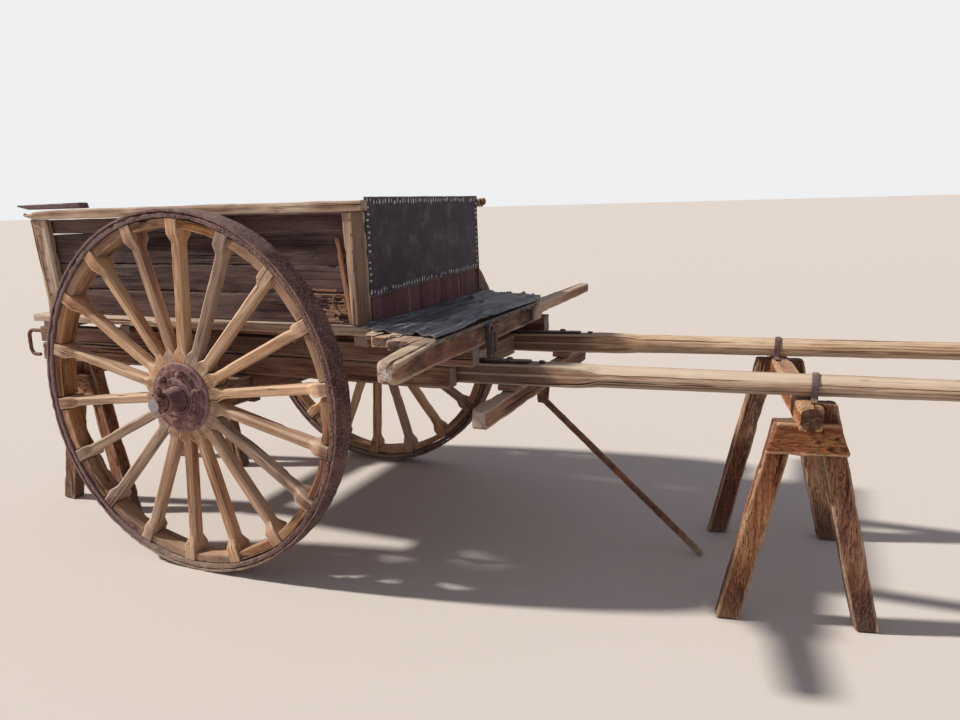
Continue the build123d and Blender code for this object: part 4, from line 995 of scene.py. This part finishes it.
# Nail heads in the corner posts and the front wall's boards
skin = Skin("nail_heads", 38)
for side in (near, far):
    for x, lean in ((wall_front - 0.018, -0.065), (wall_rear + 0.075, -0.13)):
        for z in (1.130, 1.200, 1.270, 1.330, 1.400, 1.475, 1.530):
            spot = (x + lean * (z - ledge_top) + skin.random.uniform(-0.006, 0.006),
                    side * (plank_outer + 0.0392), z + skin.random.uniform(-0.01, 0.01))
            dab(skin, spot, Y * side, Z * 0.0046, 0.0046, 0.0022)
for y in np.arange(-0.50, 0.51, 0.125):
    for z in (1.085, 1.150):
        dab(skin, (wall_front + 0.0001, y + skin.random.uniform(-0.01, 0.01), z + skin.random.uniform(-0.008, 0.008)),
            X, Z * 0.004, 0.004, 0.002)
skin.make(rusty_iron, "cart", ())

# Frame
boards("frame_joists", ("cross_joists",), "y", frame_wood, "frame_wood", 41, step=0.035, cell=0.02, checks=3)
boards("frame_sills", ("body_sills",), "x", frame_wood, "frame_wood", 42, radius=0.009, checks=8, hew=0.0028,
       chips=0.8)
boards("frame_main_beams", ("frame_beams",), "x", frame_wood, "frame_wood", 43, radius=0.010, checks=9,
       hew=0.003, chips=0.9, end_round=0.006)
boards("frame_bolsters", ("cross_bolsters",), "y", deck_wood, "pale_wood", 44, checks=3)
boards("axle_bed_timber", ("axle_bed",), "y", frame_wood, "frame_wood", 45, radius=0.010, checks=7, hew=0.003)
boards("deck_bearers", ("platform_bearers",), "y", frame_wood, "frame_wood", 46, checks=3)
boards("deck_boards", ("platform_boards",), "y", deck_wood, "pale_wood", 47, checks=5, splinter=(0.02, 0.01),
       chips=1.0, cell=0.011)
boards("lower_cross_timber", ("lower_timber",), "y", beam_wood, "frame_wood", 48, radius=0.010, checks=7,
       hew=0.003, chips=0.8, end_round=0.008)
boards("shaft_packing", ("packing_blocks",), "x", frame_wood, "frame_wood", 49, checks=1)

# Front cross beam
deck_top = node_range("front_beam", 2)[1]
beam_bottom = node_range("front_beam", 2)[0]
beam_reach = node_range("front_beam", 1)[1]
beam_low = table((-1235, 12), (-870, 0), (300, 0), (338, 27.7), (1235, 27.7))
beam_high = table((-1235, -9), (-1213, 0), (300, 0), (338, -8), (1235, -8))
beam_back = table((-1235, 48), (-890, 0), (350, 0), (1235, 12)) * [[1], [1]] + [[0], [1.165 + axle_x]]
beam_front = table((-1235, 38), (-1213, 48), (-890, 0), (350, 0), (1235, -12)) + [[0], [1.250 + axle_x]]


def beam_section(share):
    y = beam_reach * (2 * share - 1)
    low = beam_bottom + np.interp(y, *beam_low)
    high = deck_top + np.interp(y, *beam_high)
    back = np.interp(y, *beam_back)
    front = np.interp(y, *beam_front)
    return [(low, back), (high, back), (high, front), (low, front)]


def beam_stain_and_shade(place):
    """Dark patches: a real stain round the near arm's root, painted shade in the mortise, a broad darkening of the
    front between them and a dark band along the front's upper edge.
    """
    y = place[:, 0] - beam_reach
    front = place[:, 2] > 1.24 + axle_x - 0.03 * (y < -0.9)
    # painted shade: the mortise round y = 0.10 is darkened as if shaded inside
    patch = 0.55 * np.exp(-((y + 0.84) / 0.06) ** 2) + 0.7 * np.exp(-((y - 0.10) / 0.10) ** 4)
    patch = patch + 0.35 * (y > -0.75) * (y < 0.3)
    edge = 0.8 * (y > -0.95) * (y < 0.3) * np.exp(-(deck_top - place[:, 1]) / 0.014)
    return np.clip(patch * front + edge, 0, 1)


skin = Skin("front_cross_beam", 51)
pocket_height = deck_top - beam_bottom
timber(skin, (0, -beam_reach, 0), (0, beam_reach, 0), Z, beam_section,
       radius=lambda s: np.interp(s, (0, 0.08, 0.2, 0.6, 1), (0.018, 0.011, 0.007, 0.008, 0.012)),
       checks=8, check_depth=0.008, check_width=0.0028, chips=0.7, hew=0.0026, fibre=0.0008, end_round=0.012,
       cell=0.010, step=0.017, cap_rough=0.004, stain=beam_stain_and_shade,
       extra=[beam_reach + y for y in (0.0205, 0.0215, 0.1635, 0.1645, 0.300, 0.338)],
       pockets=((2, 0.28, 0.87, beam_reach + 0.021, beam_reach + 0.164, 0.030),))
skin.make(beam_wood, "cart", ("front_beam",))

# Loose sheet on the platform
sheet_outline = table((811, -662), (930, -762), (1200, -800), (1254, -885))
sheet_far = table((811, 562), (960, 566), (1080, 530), (1190, 430), (1254, 262))
skin = Skin("platform_cover", 52)
sheet_x = np.linspace(0.811, 1.254, 60)
share = np.linspace(0, 1, 124)
near_edge = np.interp(sheet_x, *sheet_outline)
far_edge = np.interp(sheet_x, *sheet_far)
near_edge = near_edge + 0.006 * noise(np.stack((sheet_x, sheet_x * 0, sheet_x * 0), 1), 0.05, 7)
across_y = near_edge[:, None] + (far_edge - near_edge)[:, None] * share
flat_x = np.broadcast_to(axle_x + sheet_x[:, None], across_y.shape)
level = node_range("platform_sheet", 2)[0]
spot = np.stack((flat_x, across_y, across_y * 0), -1)
fold = (1 - np.abs(noise(spot + 0.04 * noise(spot, (0.1, 0.2, 1), 4)[..., None], (0.055, 0.42, 1), 3))) ** 5
lift = 0.003 + 0.013 * fold + 0.004 * rough(spot, (0.03, 0.2, 1), 9)
lift = lift + 0.008 * np.exp(-((flat_x - axle_x - 1.254) / 0.05) ** 2)
top = np.stack((flat_x, across_y, level + 0.003 + np.clip(lift, 0, 0.03)), -1)
under = top - (0, 0, 0.0028)
rows, columns = across_y.shape
size = rows * columns
faces = [face[::-1] for face in strips(rows, columns, closed=False)]
faces += [tuple(size + corner for corner in face[::-1]) for face in faces]
rim = [(r, 0) for r in range(rows)] + [(rows - 1, c) for c in range(1, columns)]
rim += [(r, columns - 1) for r in range(rows - 2, -1, -1)] + [(0, c) for c in range(columns - 2, 0, -1)]
rim = [r * columns + c for r, c in rim]
faces += [(a, b, size + b, size + a) for a, b in zip(rim, rim[1:] + rim[:1])]
skin.add(np.concatenate((top.reshape(-1, 3), under.reshape(-1, 3))), faces, None,
         np.concatenate((np.exp(-np.minimum(share, 1 - share) * 40)[None].repeat(rows, 0).ravel(),) * 2))
skin.make(sheet_paint, "cart", ("platform_sheet",))

skin = Skin("cover_tatters", 53)
torn_near, torn_far = -0.875, 0.262


def torn_section(share):
    """The sheet's edge where it hangs over the beam, torn to a ragged line."""
    y = torn_near + share * (torn_far - torn_near)
    hang = 0.006 + 0.012 * noise((y, 0, 0), 0.045, 5) + 0.008 * noise((y, 0, 0), 0.014, 6)
    return [(-max(hang, 0.0005), 0.0003), (0.004, 0.0003), (0.004, 0.0019), (-max(hang, 0.0005), 0.0019)]


timber(skin, (axle_x + 1.251, torn_near, deck_top), (axle_x + 1.251, torn_far, deck_top), Z, torn_section,
       radius=0.0004, arc=1, cell=0.006, step=0.0055, hew=0.0, fibre=0.0, chips=0.0, end_round=0.0008,
       cap_rough=0.0)
skin.make(sheet_paint, "cart", ())

# Shafts
shaft_rise = 0.0215
shaft_bottom = 0.815
for side_name, side, seed in (("right", near, 61), ("left", far, 62)):
    skin = Skin(f"pole_{side_name}", seed)
    y = side * 0.370
    start = np.array((axle_x + 0.160, y, shaft_bottom + shaft_rise * 0.160 + 0.046))
    end = np.array((axle_x + 3.4395, y, shaft_bottom + shaft_rise * 3.4395 + 0.046))

    def shaft_section(share):
        x = 0.160 + share * 3.28
        radius = np.interp(x, (0, 1.66, 3.10), (0.046, 0.046, 0.038))
        power = 2 / np.interp(x, (1.50, 1.72), (14, 2))
        turn = np.linspace(0, 2 * pi, 16, endpoint=False)
        wave = 1 + 0.025 * noise(np.stack((turn * 0 + x, np.cos(turn), np.sin(turn)), 1), (0.6, 0.9, 0.9), seed)
        wave = 1 + (wave - 1) * np.interp(x, (1.45, 2.0), (0.2, 1))
        return [(radius * w * np.sign(cos(t)) * abs(cos(t)) ** power,
                 radius * w * np.sign(sin(t)) * abs(sin(t)) ** power) for t, w in zip(turn, wave)]

    def shaft_stain_and_shade(place):
        """Darker along the underside, partly real brown and partly painted shade; painted shadow at the root, and
        patchy painted shade over the whole far shaft.
        """
        below = np.clip(0.3 - place[:, 2] / 0.030, 0, 1)
        # painted shadow at the root, and painted shade over the whole far shaft
        root = np.interp(place[:, 0] + 0.160, (1.42, 1.66), (0.86, 0))
        return np.maximum(0.60 * below, np.maximum(root, 0.46 if side > 0 else 0.0))

    timber(skin, start, end, Y, shaft_section, radius=0.006, arc=2, cell=0.009, step=0.023, checks=24,
           check_depth=0.008, check_width=0.0028, hew=0.0016, fibre=0.0006, chips=0.2, end_round=0.006,
           stain=shaft_stain_and_shade)
    skin.make(shaft_wood, "cart", (f"shaft_{side_name}",))


# Trestles
def trestle(name, x, skew, top, leg_drops, seed):
    """A sawhorse: crossbar, four legs that lean together and a collar board on each pair of legs."""
    ahead = np.array((cos(radians(skew)), sin(radians(skew)), 0))
    along = np.cross(Z, ahead)
    base = np.array((axle_x + x, 0, 0))
    half_bar = 0.510
    slope = (0.246 - 0.052) / top
    skin = Skin(f"{name}_crossbar", seed)
    middle = top - 0.095 / 2
    timber(skin, base + along * -half_bar + Z * middle, base + along * half_bar + Z * middle, ahead * -1,
           rectangle(0.088, 0.095), radius=0.018, checks=8, check_depth=0.014, hew=0.0035, chips=0.9, cell=0.010,
           step=0.018, end_round=0.009, cap_rough=0.007,
           stain=lambda place: 0.9 * (np.abs(place[:, 0] - half_bar) > half_bar - 0.0005)
           * (np.hypot(place[:, 1], place[:, 2]) < 0.040))
    skin.make(trestle_wood, "cart", (f"{name}_bar",))
    skin = Skin(f"{name}_posts", seed + 1)
    for y, drops in zip((-0.403, 0.403), leg_drops):
        for hand, drop in zip((-1, 1), drops):
            height = top - drop / 1000

            def leg_section(share, hand=hand, y=y, height=height):
                centre = hand * (0.246 - slope * height * share)
                return counter_clockwise([(centre + 0.046 * a, y + 0.038 * b)
                                          for a, b in ((-1, -1), (1, -1), (1, 1), (-1, 1))])

            def stand(along_grid, flat):
                return base + flat[..., :1] * ahead + flat[..., 1:] * along + along_grid[:, None, None] * Z

            timber(skin, (0, 0, 0), (0, 0, height), X, leg_section, place=stand, radius=0.009, checks=4,
                   hew=0.0038, chips=1.4, fibre=0.0014, cell=0.009, step=0.019, end_round=0.006,
                   stain=lambda place: 0.62 * np.exp(-(place[:, 0] / 0.34) ** 2))
    skin.make(trestle_wood, "cart", (f"{name}_legs",))
    skin = Skin(f"{name}_collar_boards", seed + 2)
    high = top - 0.095 + 0.020
    low = high - 0.112
    low_half = 0.246 - slope * low + 0.046
    high_half = 0.246 - slope * high + 0.046 - 0.014
    for y in (-0.4415 - 0.0124, 0.4415 + 0.0124):
        def collar_section(share):
            ends = np.array((-1, 1)) * 1.0
            z = (low, high)
            return [(z[0], y - 0.0124), (z[1], y - 0.0124), (z[1], y + 0.0124), (z[0], y + 0.0124)]

        def lay(along_grid, flat):
            z = flat[..., :1]
            half = low_half + (high_half - low_half) * (z - low) / (high - low)
            reach = (along_grid[:, None, None] / run - 0.5) * 2 * half
            return base + reach * ahead + flat[..., 1:] * along + z * Z

        run = 2 * low_half
        knots = [(run * (share + skin.random.uniform(-0.02, 0.02)), low + rise * (high - low), size)
                 for share, rise, size in ((0.62, 0.42, 1.0), (0.71, 0.76, 0.8), (0.78, 0.22, 1.1), (0.89, 0.55, 0.9),
                                           (0.10, 0.44, 0.5), (0.17, 0.66, 0.5))]
        timber(skin, (0, 0, 0), (run, 0, 0), Z, collar_section, place=lay, radius=0.005, checks=4, hew=0.002,
               chips=1.2, cell=0.006, step=0.010, end_round=0.004,
               stain=lambda place: 1.3 * sum(np.exp(-((place[:, 0] - x) / 0.013 / size) ** 2
                                                    - ((place[:, 1] - z) / 0.008 / size) ** 2)
                                             for x, z, size in knots))
    skin.make(trestle_wood, "cart", (f"{name}_collars",))


front_bar_top = node_range("front_trestle_bar", 2)[1]
rear_bar_top = node_range("rear_trestle_bar", 2)[1]
trestle("front_trestle", 2.420, 9, front_bar_top, ((76, 6), (10, 14)), 71)
trestle("rear_trestle", 0.005 - 1.080, -5, rear_bar_top, ((20, 8), (12, 24)), 75)

# Small iron pieces of the cart
beaten("rail_end_bar", ("rail_bar",), strap_iron, "cart", 0.004, seed=81)
beaten("rail_end_knob", ("rail_knob",), rusty_iron, "cart", 0.002, seed=82)
beaten("axle_pins", ("linchpins",), rusty_iron, "cart", 0.0023, seed=83)
beaten("bed_clips", ("axle_clips",), rusty_iron, "cart", 0.0045, seed=84)
beaten("beam_tie", ("beam_stirrup",), black_iron, "cart", 0.002, 0.0009, seed=85)
beaten("shaft_root_strips", ("shaft_strips",), black_iron, "cart", 0.0036, 0.0009, seed=86)
beaten("prop_hanger", ("prop_bracket",), rusty_iron, "cart", 0.0028, seed=87)
beaten("tail_hooks", ("rear_hooks",), rusty_iron, "cart", 0.0031, 0.0014, seed=88)
beaten("trestle_tie_straps", ("trestle_straps",), strap_iron, "cart", 0.0025, 0.0006, seed=89)
beaten("axle_iron", ("axle",), hub_iron, "cart", 0.008, seed=90)
beaten("prop_iron", ("prop_rod",), rusty_iron, "prop", 0.004, 0.0012, seed=91)

skin = Skin("beam_link", 92)
link_x = axle_x + 1.250 + 0.0003 + 0.008
turn = np.linspace(0, 2 * pi, 28, endpoint=False)
eye = np.stack((link_x + 0.008 + 0 * turn, -0.392 + 0.017 * np.cos(turn), 1.072 + 0.019 * np.sin(turn)), -1)
tube(skin, eye, X, 0.0058, closed=True)
long_link = np.stack((link_x + 0.018 + 0 * turn, -0.386 + 0.020 * np.cos(turn),
                      1.018 + 0.040 * np.clip(1.25 * np.sin(turn), -1, 1) + 0.010 * np.sin(turn)), -1)
tube(skin, long_link, X, 0.0068, closed=True)
skin.make(strap_iron, "cart", ())

skin = Skin("axle_ends", 93)
for side in (near, far):
    end = np.array((axle_x, side * 1.0003, 0.800))
    round_end = [(0.0292 * cos(a), 0.0292 * sin(a)) for a in np.linspace(0, 2 * pi, 20, endpoint=False)]
    timber(skin, end - Y * side * 0.003, end + Y * side * 0.0014, X, round_end, radius=0.002, arc=1, step=0.002,
           end_round=0.0012, hew=0.0003, fibre=0.0001, chips=0.2, cap_rough=0.0008)
skin.make(worn_steel, "cart", ())

skin = Skin("axle_grease", 94)
for side in (near, far):
    for spot, size in (((-0.018, 0.958, 0.826), 0.016), ((0.014, 0.950, 0.832), 0.013), ((0.004, 0.962, 0.773), 0.012),
                       ((-0.030, 0.955, 0.806), 0.011), ((0.030, 0.957, 0.812), 0.012)):
        blob(skin, (axle_x + spot[0], side * spot[1], spot[2]), (size, 0.7 * size, size), 0.4)
skin.make(hub_iron, "cart", ())

# Wheels
hub_z = 0.800
spoke_count = 18
rim_inner = 0.762
head_half = 0.029
face_half = table((96, 16.7), (188, 32.9), (214, 21), (661.5, 21), (697.5, 29), (761.5, 29))
side_half = table((96, 39), (178, 39), (214, 31), (661.5, 31), (697.5, 48.5), (761.5, 48.5))
edge_cut = table((96, 1), (188, 2), (216, 9), (655, 9), (697, 4), (761.5, 4))


def wheel(side_name, side, seed):
    """One wheel: iron hoops, felloes between square spoke heads, spokes with wedge feet, clamped hub."""
    body = f"wheel_{side_name}"
    wheel_y = side * 0.805
    centre = np.array((axle_x, wheel_y, hub_z))
    outboard = Y * side
    angles = [radians(6.5 + 20 * index) for index in range(spoke_count)]

    skin = Skin(f"tyre_hoops_{side_name}", seed)
    lathe(skin, centre, outboard, ((0.7862, -0.055), (0.800, -0.055), (0.800, 0.055), (0.7862, 0.055)), 330,
          radius=0.004, cell=0.013, lumps=0.0020, lump_size=0.024, ragged=0.0035)
    lathe(skin, centre, outboard, ((0.762, -0.052), (0.7855, -0.052), (0.7855, 0.052), (0.762, 0.052)), 330,
          radius=0.005, cell=0.013, lumps=0.0018, lump_size=0.025, ragged=0.004)
    skin.make(tyre_iron, body, (f"tyre_{side_name}",))

    skin = Skin(f"rim_felloes_{side_name}", seed + 1)
    middle_radius = rim_inner - 0.023
    clear = head_half + 0.0008
    for index, angle in enumerate(angles):
        first = angle + clear / middle_radius
        last = angle + 2 * pi / spoke_count - clear / middle_radius
        length = (last - first) * middle_radius
        belly = skin.random.uniform(0.000, 0.007)
        thin = skin.random.uniform(0.75, 1.0)

        def felloe_section(share, belly=belly, thin=thin):
            inner = -0.023 * thin - belly * sin(pi * share) + 0.006 * (1 - thin)
            return [(inner, -0.044), (0.0226, -0.044), (0.0226, 0.044), (inner, 0.044)]

        def bend(along_grid, flat, first=first):
            turn = first + along_grid[:, None] / middle_radius
            reach = middle_radius + flat[..., 0]
            return np.stack((centre[0] + reach * np.cos(turn), wheel_y + flat[..., 1],
                             centre[2] + reach * np.sin(turn)), -1)

        timber(skin, (0, 0, 0), (length, 0, 0), Y, felloe_section, place=bend, radius=0.006, checks=3,
               check_depth=0.010, hew=0.0035, chips=1.6, fibre=0.001, cell=0.010, step=0.017, end_round=0.003)
    skin.make(felloe_wood, body, (f"felloes_{side_name}",))

    skin = Skin(f"wheel_spokes_{side_name}", seed + 2)
    foot, top = 0.096, 0.7613

    for angle in angles:
        along = np.array((cos(angle), 0, sin(angle)))
        tangent = np.array((-sin(angle), 0, cos(angle)))
        slim = skin.random.uniform(0.98, 1.06)
        lean = skin.random.uniform(-0.0025, 0.0025, 2)

        def spoke_section(share, slim=slim, lean=lean):
            radius = foot + share * (top - foot)
            width = np.interp(radius, *face_half)
            depth = np.interp(radius, *side_half)
            stem = np.interp(radius, (0.19, 0.23, 0.64, 0.69), (0, 1, 1, 0))
            waist = 1 - 0.02 * sin(pi * share)
            width *= 1 + (slim * waist - 1) * stem
            depth *= 1 + (slim * waist - 1) * stem
            return [(a * width + lean[0] * stem, b * depth + lean[1] * stem)
                    for a, b in ((-1, -1), (1, -1), (1, 1), (-1, 1))]

        def spoke_dirt(place, forward=max(0, cos(angle + 0.15)) ** 4):
            """Rot at the heads, most on the side that points forward, and dirt round the feet."""
            reach = foot + place[:, 0]
            head = np.exp(-((reach - 0.745) / 0.028) ** 2)
            toe = np.exp(-((reach - 0.186) / 0.030) ** 2)
            return np.clip((0.30 + 0.45 * forward) * head + 0.45 * toe, 0, 1)

        timber(skin, centre + along * foot, centre + along * top, tangent, spoke_section, stain=spoke_dirt,
               arc=1, radius=lambda s: np.interp(foot + s * (top - foot), *edge_cut), checks=4, check_depth=0.008,
               check_width=0.002, hew=0.0012, chips=0.6, cell=0.012, step=0.028, end_round=0.002,
               extra=[r - foot for r in (0.188, 0.214, 0.6615, 0.6975)])
    skin.make(spoke_wood, body, (f"spokes_{side_name}",))

    skin = Skin(f"hub_pipe_{side_name}", seed + 3)
    lathe(skin, centre, outboard, table((33.6, -110), (61, -110), (65, -106), (80, -65), (88, -53), (152, -53),
                                        (157, -48), (157, -39.3), (95.7, -39.3), (95.7, 39.3), (57, 39.3),
                                        (57, 69), (45, 139), (39, 145), (33.6, 145)).T, 84, radius=0.003,
          cell=0.010, lumps=0.0022, lump_size=0.03)
    skin.make(hub_iron, body, (f"hub_{side_name}",))
    skin = Skin(f"hub_plate_{side_name}", seed + 4)
    lathe(skin, centre, outboard, table((57.3, 39.6), (157, 39.6), (157, 47), (150, 53), (125, 54.5), (90, 57),
                                        (80, 66), (57.3, 67)).T, 108, radius=0.005, cell=0.007, lumps=0.0035,
          lump_size=0.026)
    for index in range(22):
        turn, reach = skin.random.uniform(0, 2 * pi), skin.random.uniform(0.078, 0.148)
        spot = centre + reach * np.array((cos(turn), 0, sin(turn))) + outboard * (0.054 + 0.008 * (reach < 0.09))
        size = skin.random.uniform(0.004, 0.010)
        blob(skin, spot, (size * 1.4, 0.6 * size, size))
    skin.make(hub_iron, body, (f"hub_flange_{side_name}",))

    skin = Skin(f"hub_nuts_{side_name}", seed + 5)
    for index in range(6):
        angle = radians((16.5 if side < 0 else -3.5) + 60 * index)
        spot = centre + 0.108 * np.array((cos(angle), 0, sin(angle)))
        for face, sign in ((0.0536, 1), (-0.0536, -1)):
            turned = skin.random.uniform(0, 1)
            hexagon = [(0.0210 * cos(turned + pi * k / 3), 0.0210 * sin(turned + pi * k / 3)) for k in range(6)]
            start = spot + outboard * face
            timber(skin, start - outboard * sign * 0.004, start + outboard * sign * 0.020, X, hexagon,
                   radius=0.006, step=0.006, cell=0.008, hew=0.0010, fibre=0.0002, chips=0.5, end_round=0.006,
                   cap_rough=0.001, tone=0.3)
            blob(skin, start + outboard * sign * 0.020, (0.013, 0.008, 0.013))
    skin.make(hub_iron, body, (f"hub_bolts_{side_name}",))


wheel("right", near, 101)
wheel("left", far, 111)

# Stage
bpy.ops.mesh.primitive_plane_add(size=600)
floor = bpy.context.object
floor.name = "floor"
m = Finish("pale_floor")
m.shader.inputs["Base Color"].default_value = (0.64, 0.59, 0.545, 1)
m.shader.inputs["Roughness"].default_value = 0.9
m.shader.inputs["Specular IOR Level"].default_value = 0.1
floor.data.materials.append(m.material)
floor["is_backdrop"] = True

world = bpy.data.worlds.new("studio")
bpy.context.scene.world = world
world.use_nodes = True
nodes = world.node_tree.nodes
links = world.node_tree.links
light_path = nodes.new("ShaderNodeLightPath")
seen = nodes.new("ShaderNodeMath")
seen.operation = "MAXIMUM"
links.new(light_path.outputs["Is Camera Ray"], seen.inputs[0])
links.new(light_path.outputs["Is Glossy Ray"], seen.inputs[1])
glow = nodes["Background"]
glow.inputs["Color"].default_value = (0.92, 0.88, 1.0, 1)
glow.inputs["Strength"].default_value = 0.29
backdrop = nodes.new("ShaderNodeBackground")
backdrop.inputs["Color"].default_value = (0.86, 0.87, 0.88, 1)
backdrop.inputs["Strength"].default_value = 1.0
blend = nodes.new("ShaderNodeMixShader")
links.new(seen.outputs[0], blend.inputs[0])
links.new(glow.outputs[0], blend.inputs[1])
links.new(backdrop.outputs[0], blend.inputs[2])
links.new(blend.outputs[0], nodes["World Output"].inputs["Surface"])

sun = bpy.data.lights.new("key", "SUN")
sun.energy = 4.6
sun.angle = radians(3.0)
sun.color = (1.0, 0.95, 0.88)
key = bpy.data.objects.new("key", sun)
key.rotation_euler = Vector((0.75, 0.21, -0.62)).to_track_quat("-Z", "Y").to_euler()
bpy.context.scene.collection.objects.link(key)

# Camera, found from the wheel's outline and the straight edges of box, beams and shafts
camera_place = Vector((1.479, -3.302, 1.585))
camera_yaw = radians(23.50)
camera_pitch = radians(11.48)
camera_roll = radians(-1.62)
lens_pixels = 772.4
picture_width = 960
flat_right = Vector((cos(camera_yaw), sin(camera_yaw), 0))
flat_ahead = Vector((-sin(camera_yaw), cos(camera_yaw), 0))
plumb = Vector((0, 0, 1))
look_ahead = flat_ahead * cos(camera_pitch) - plumb * sin(camera_pitch)
level_up = plumb * cos(camera_pitch) + flat_ahead * sin(camera_pitch)
look_right = flat_right * cos(camera_roll) + level_up * sin(camera_roll)
look_up = level_up * cos(camera_roll) - flat_right * sin(camera_roll)
lens = bpy.data.cameras.new("camera")
lens.sensor_fit = "HORIZONTAL"
lens.sensor_width = 36
lens.lens = lens_pixels / picture_width * lens.sensor_width
camera = bpy.data.objects.new("camera", lens)
camera.matrix_world = Matrix((look_right, look_up, -look_ahead)).transposed().to_4x4()
camera.location = camera_place
bpy.context.scene.collection.objects.link(camera)
bpy.context.scene.camera = camera
bpy.context.scene.view_settings.view_transform = "Standard"
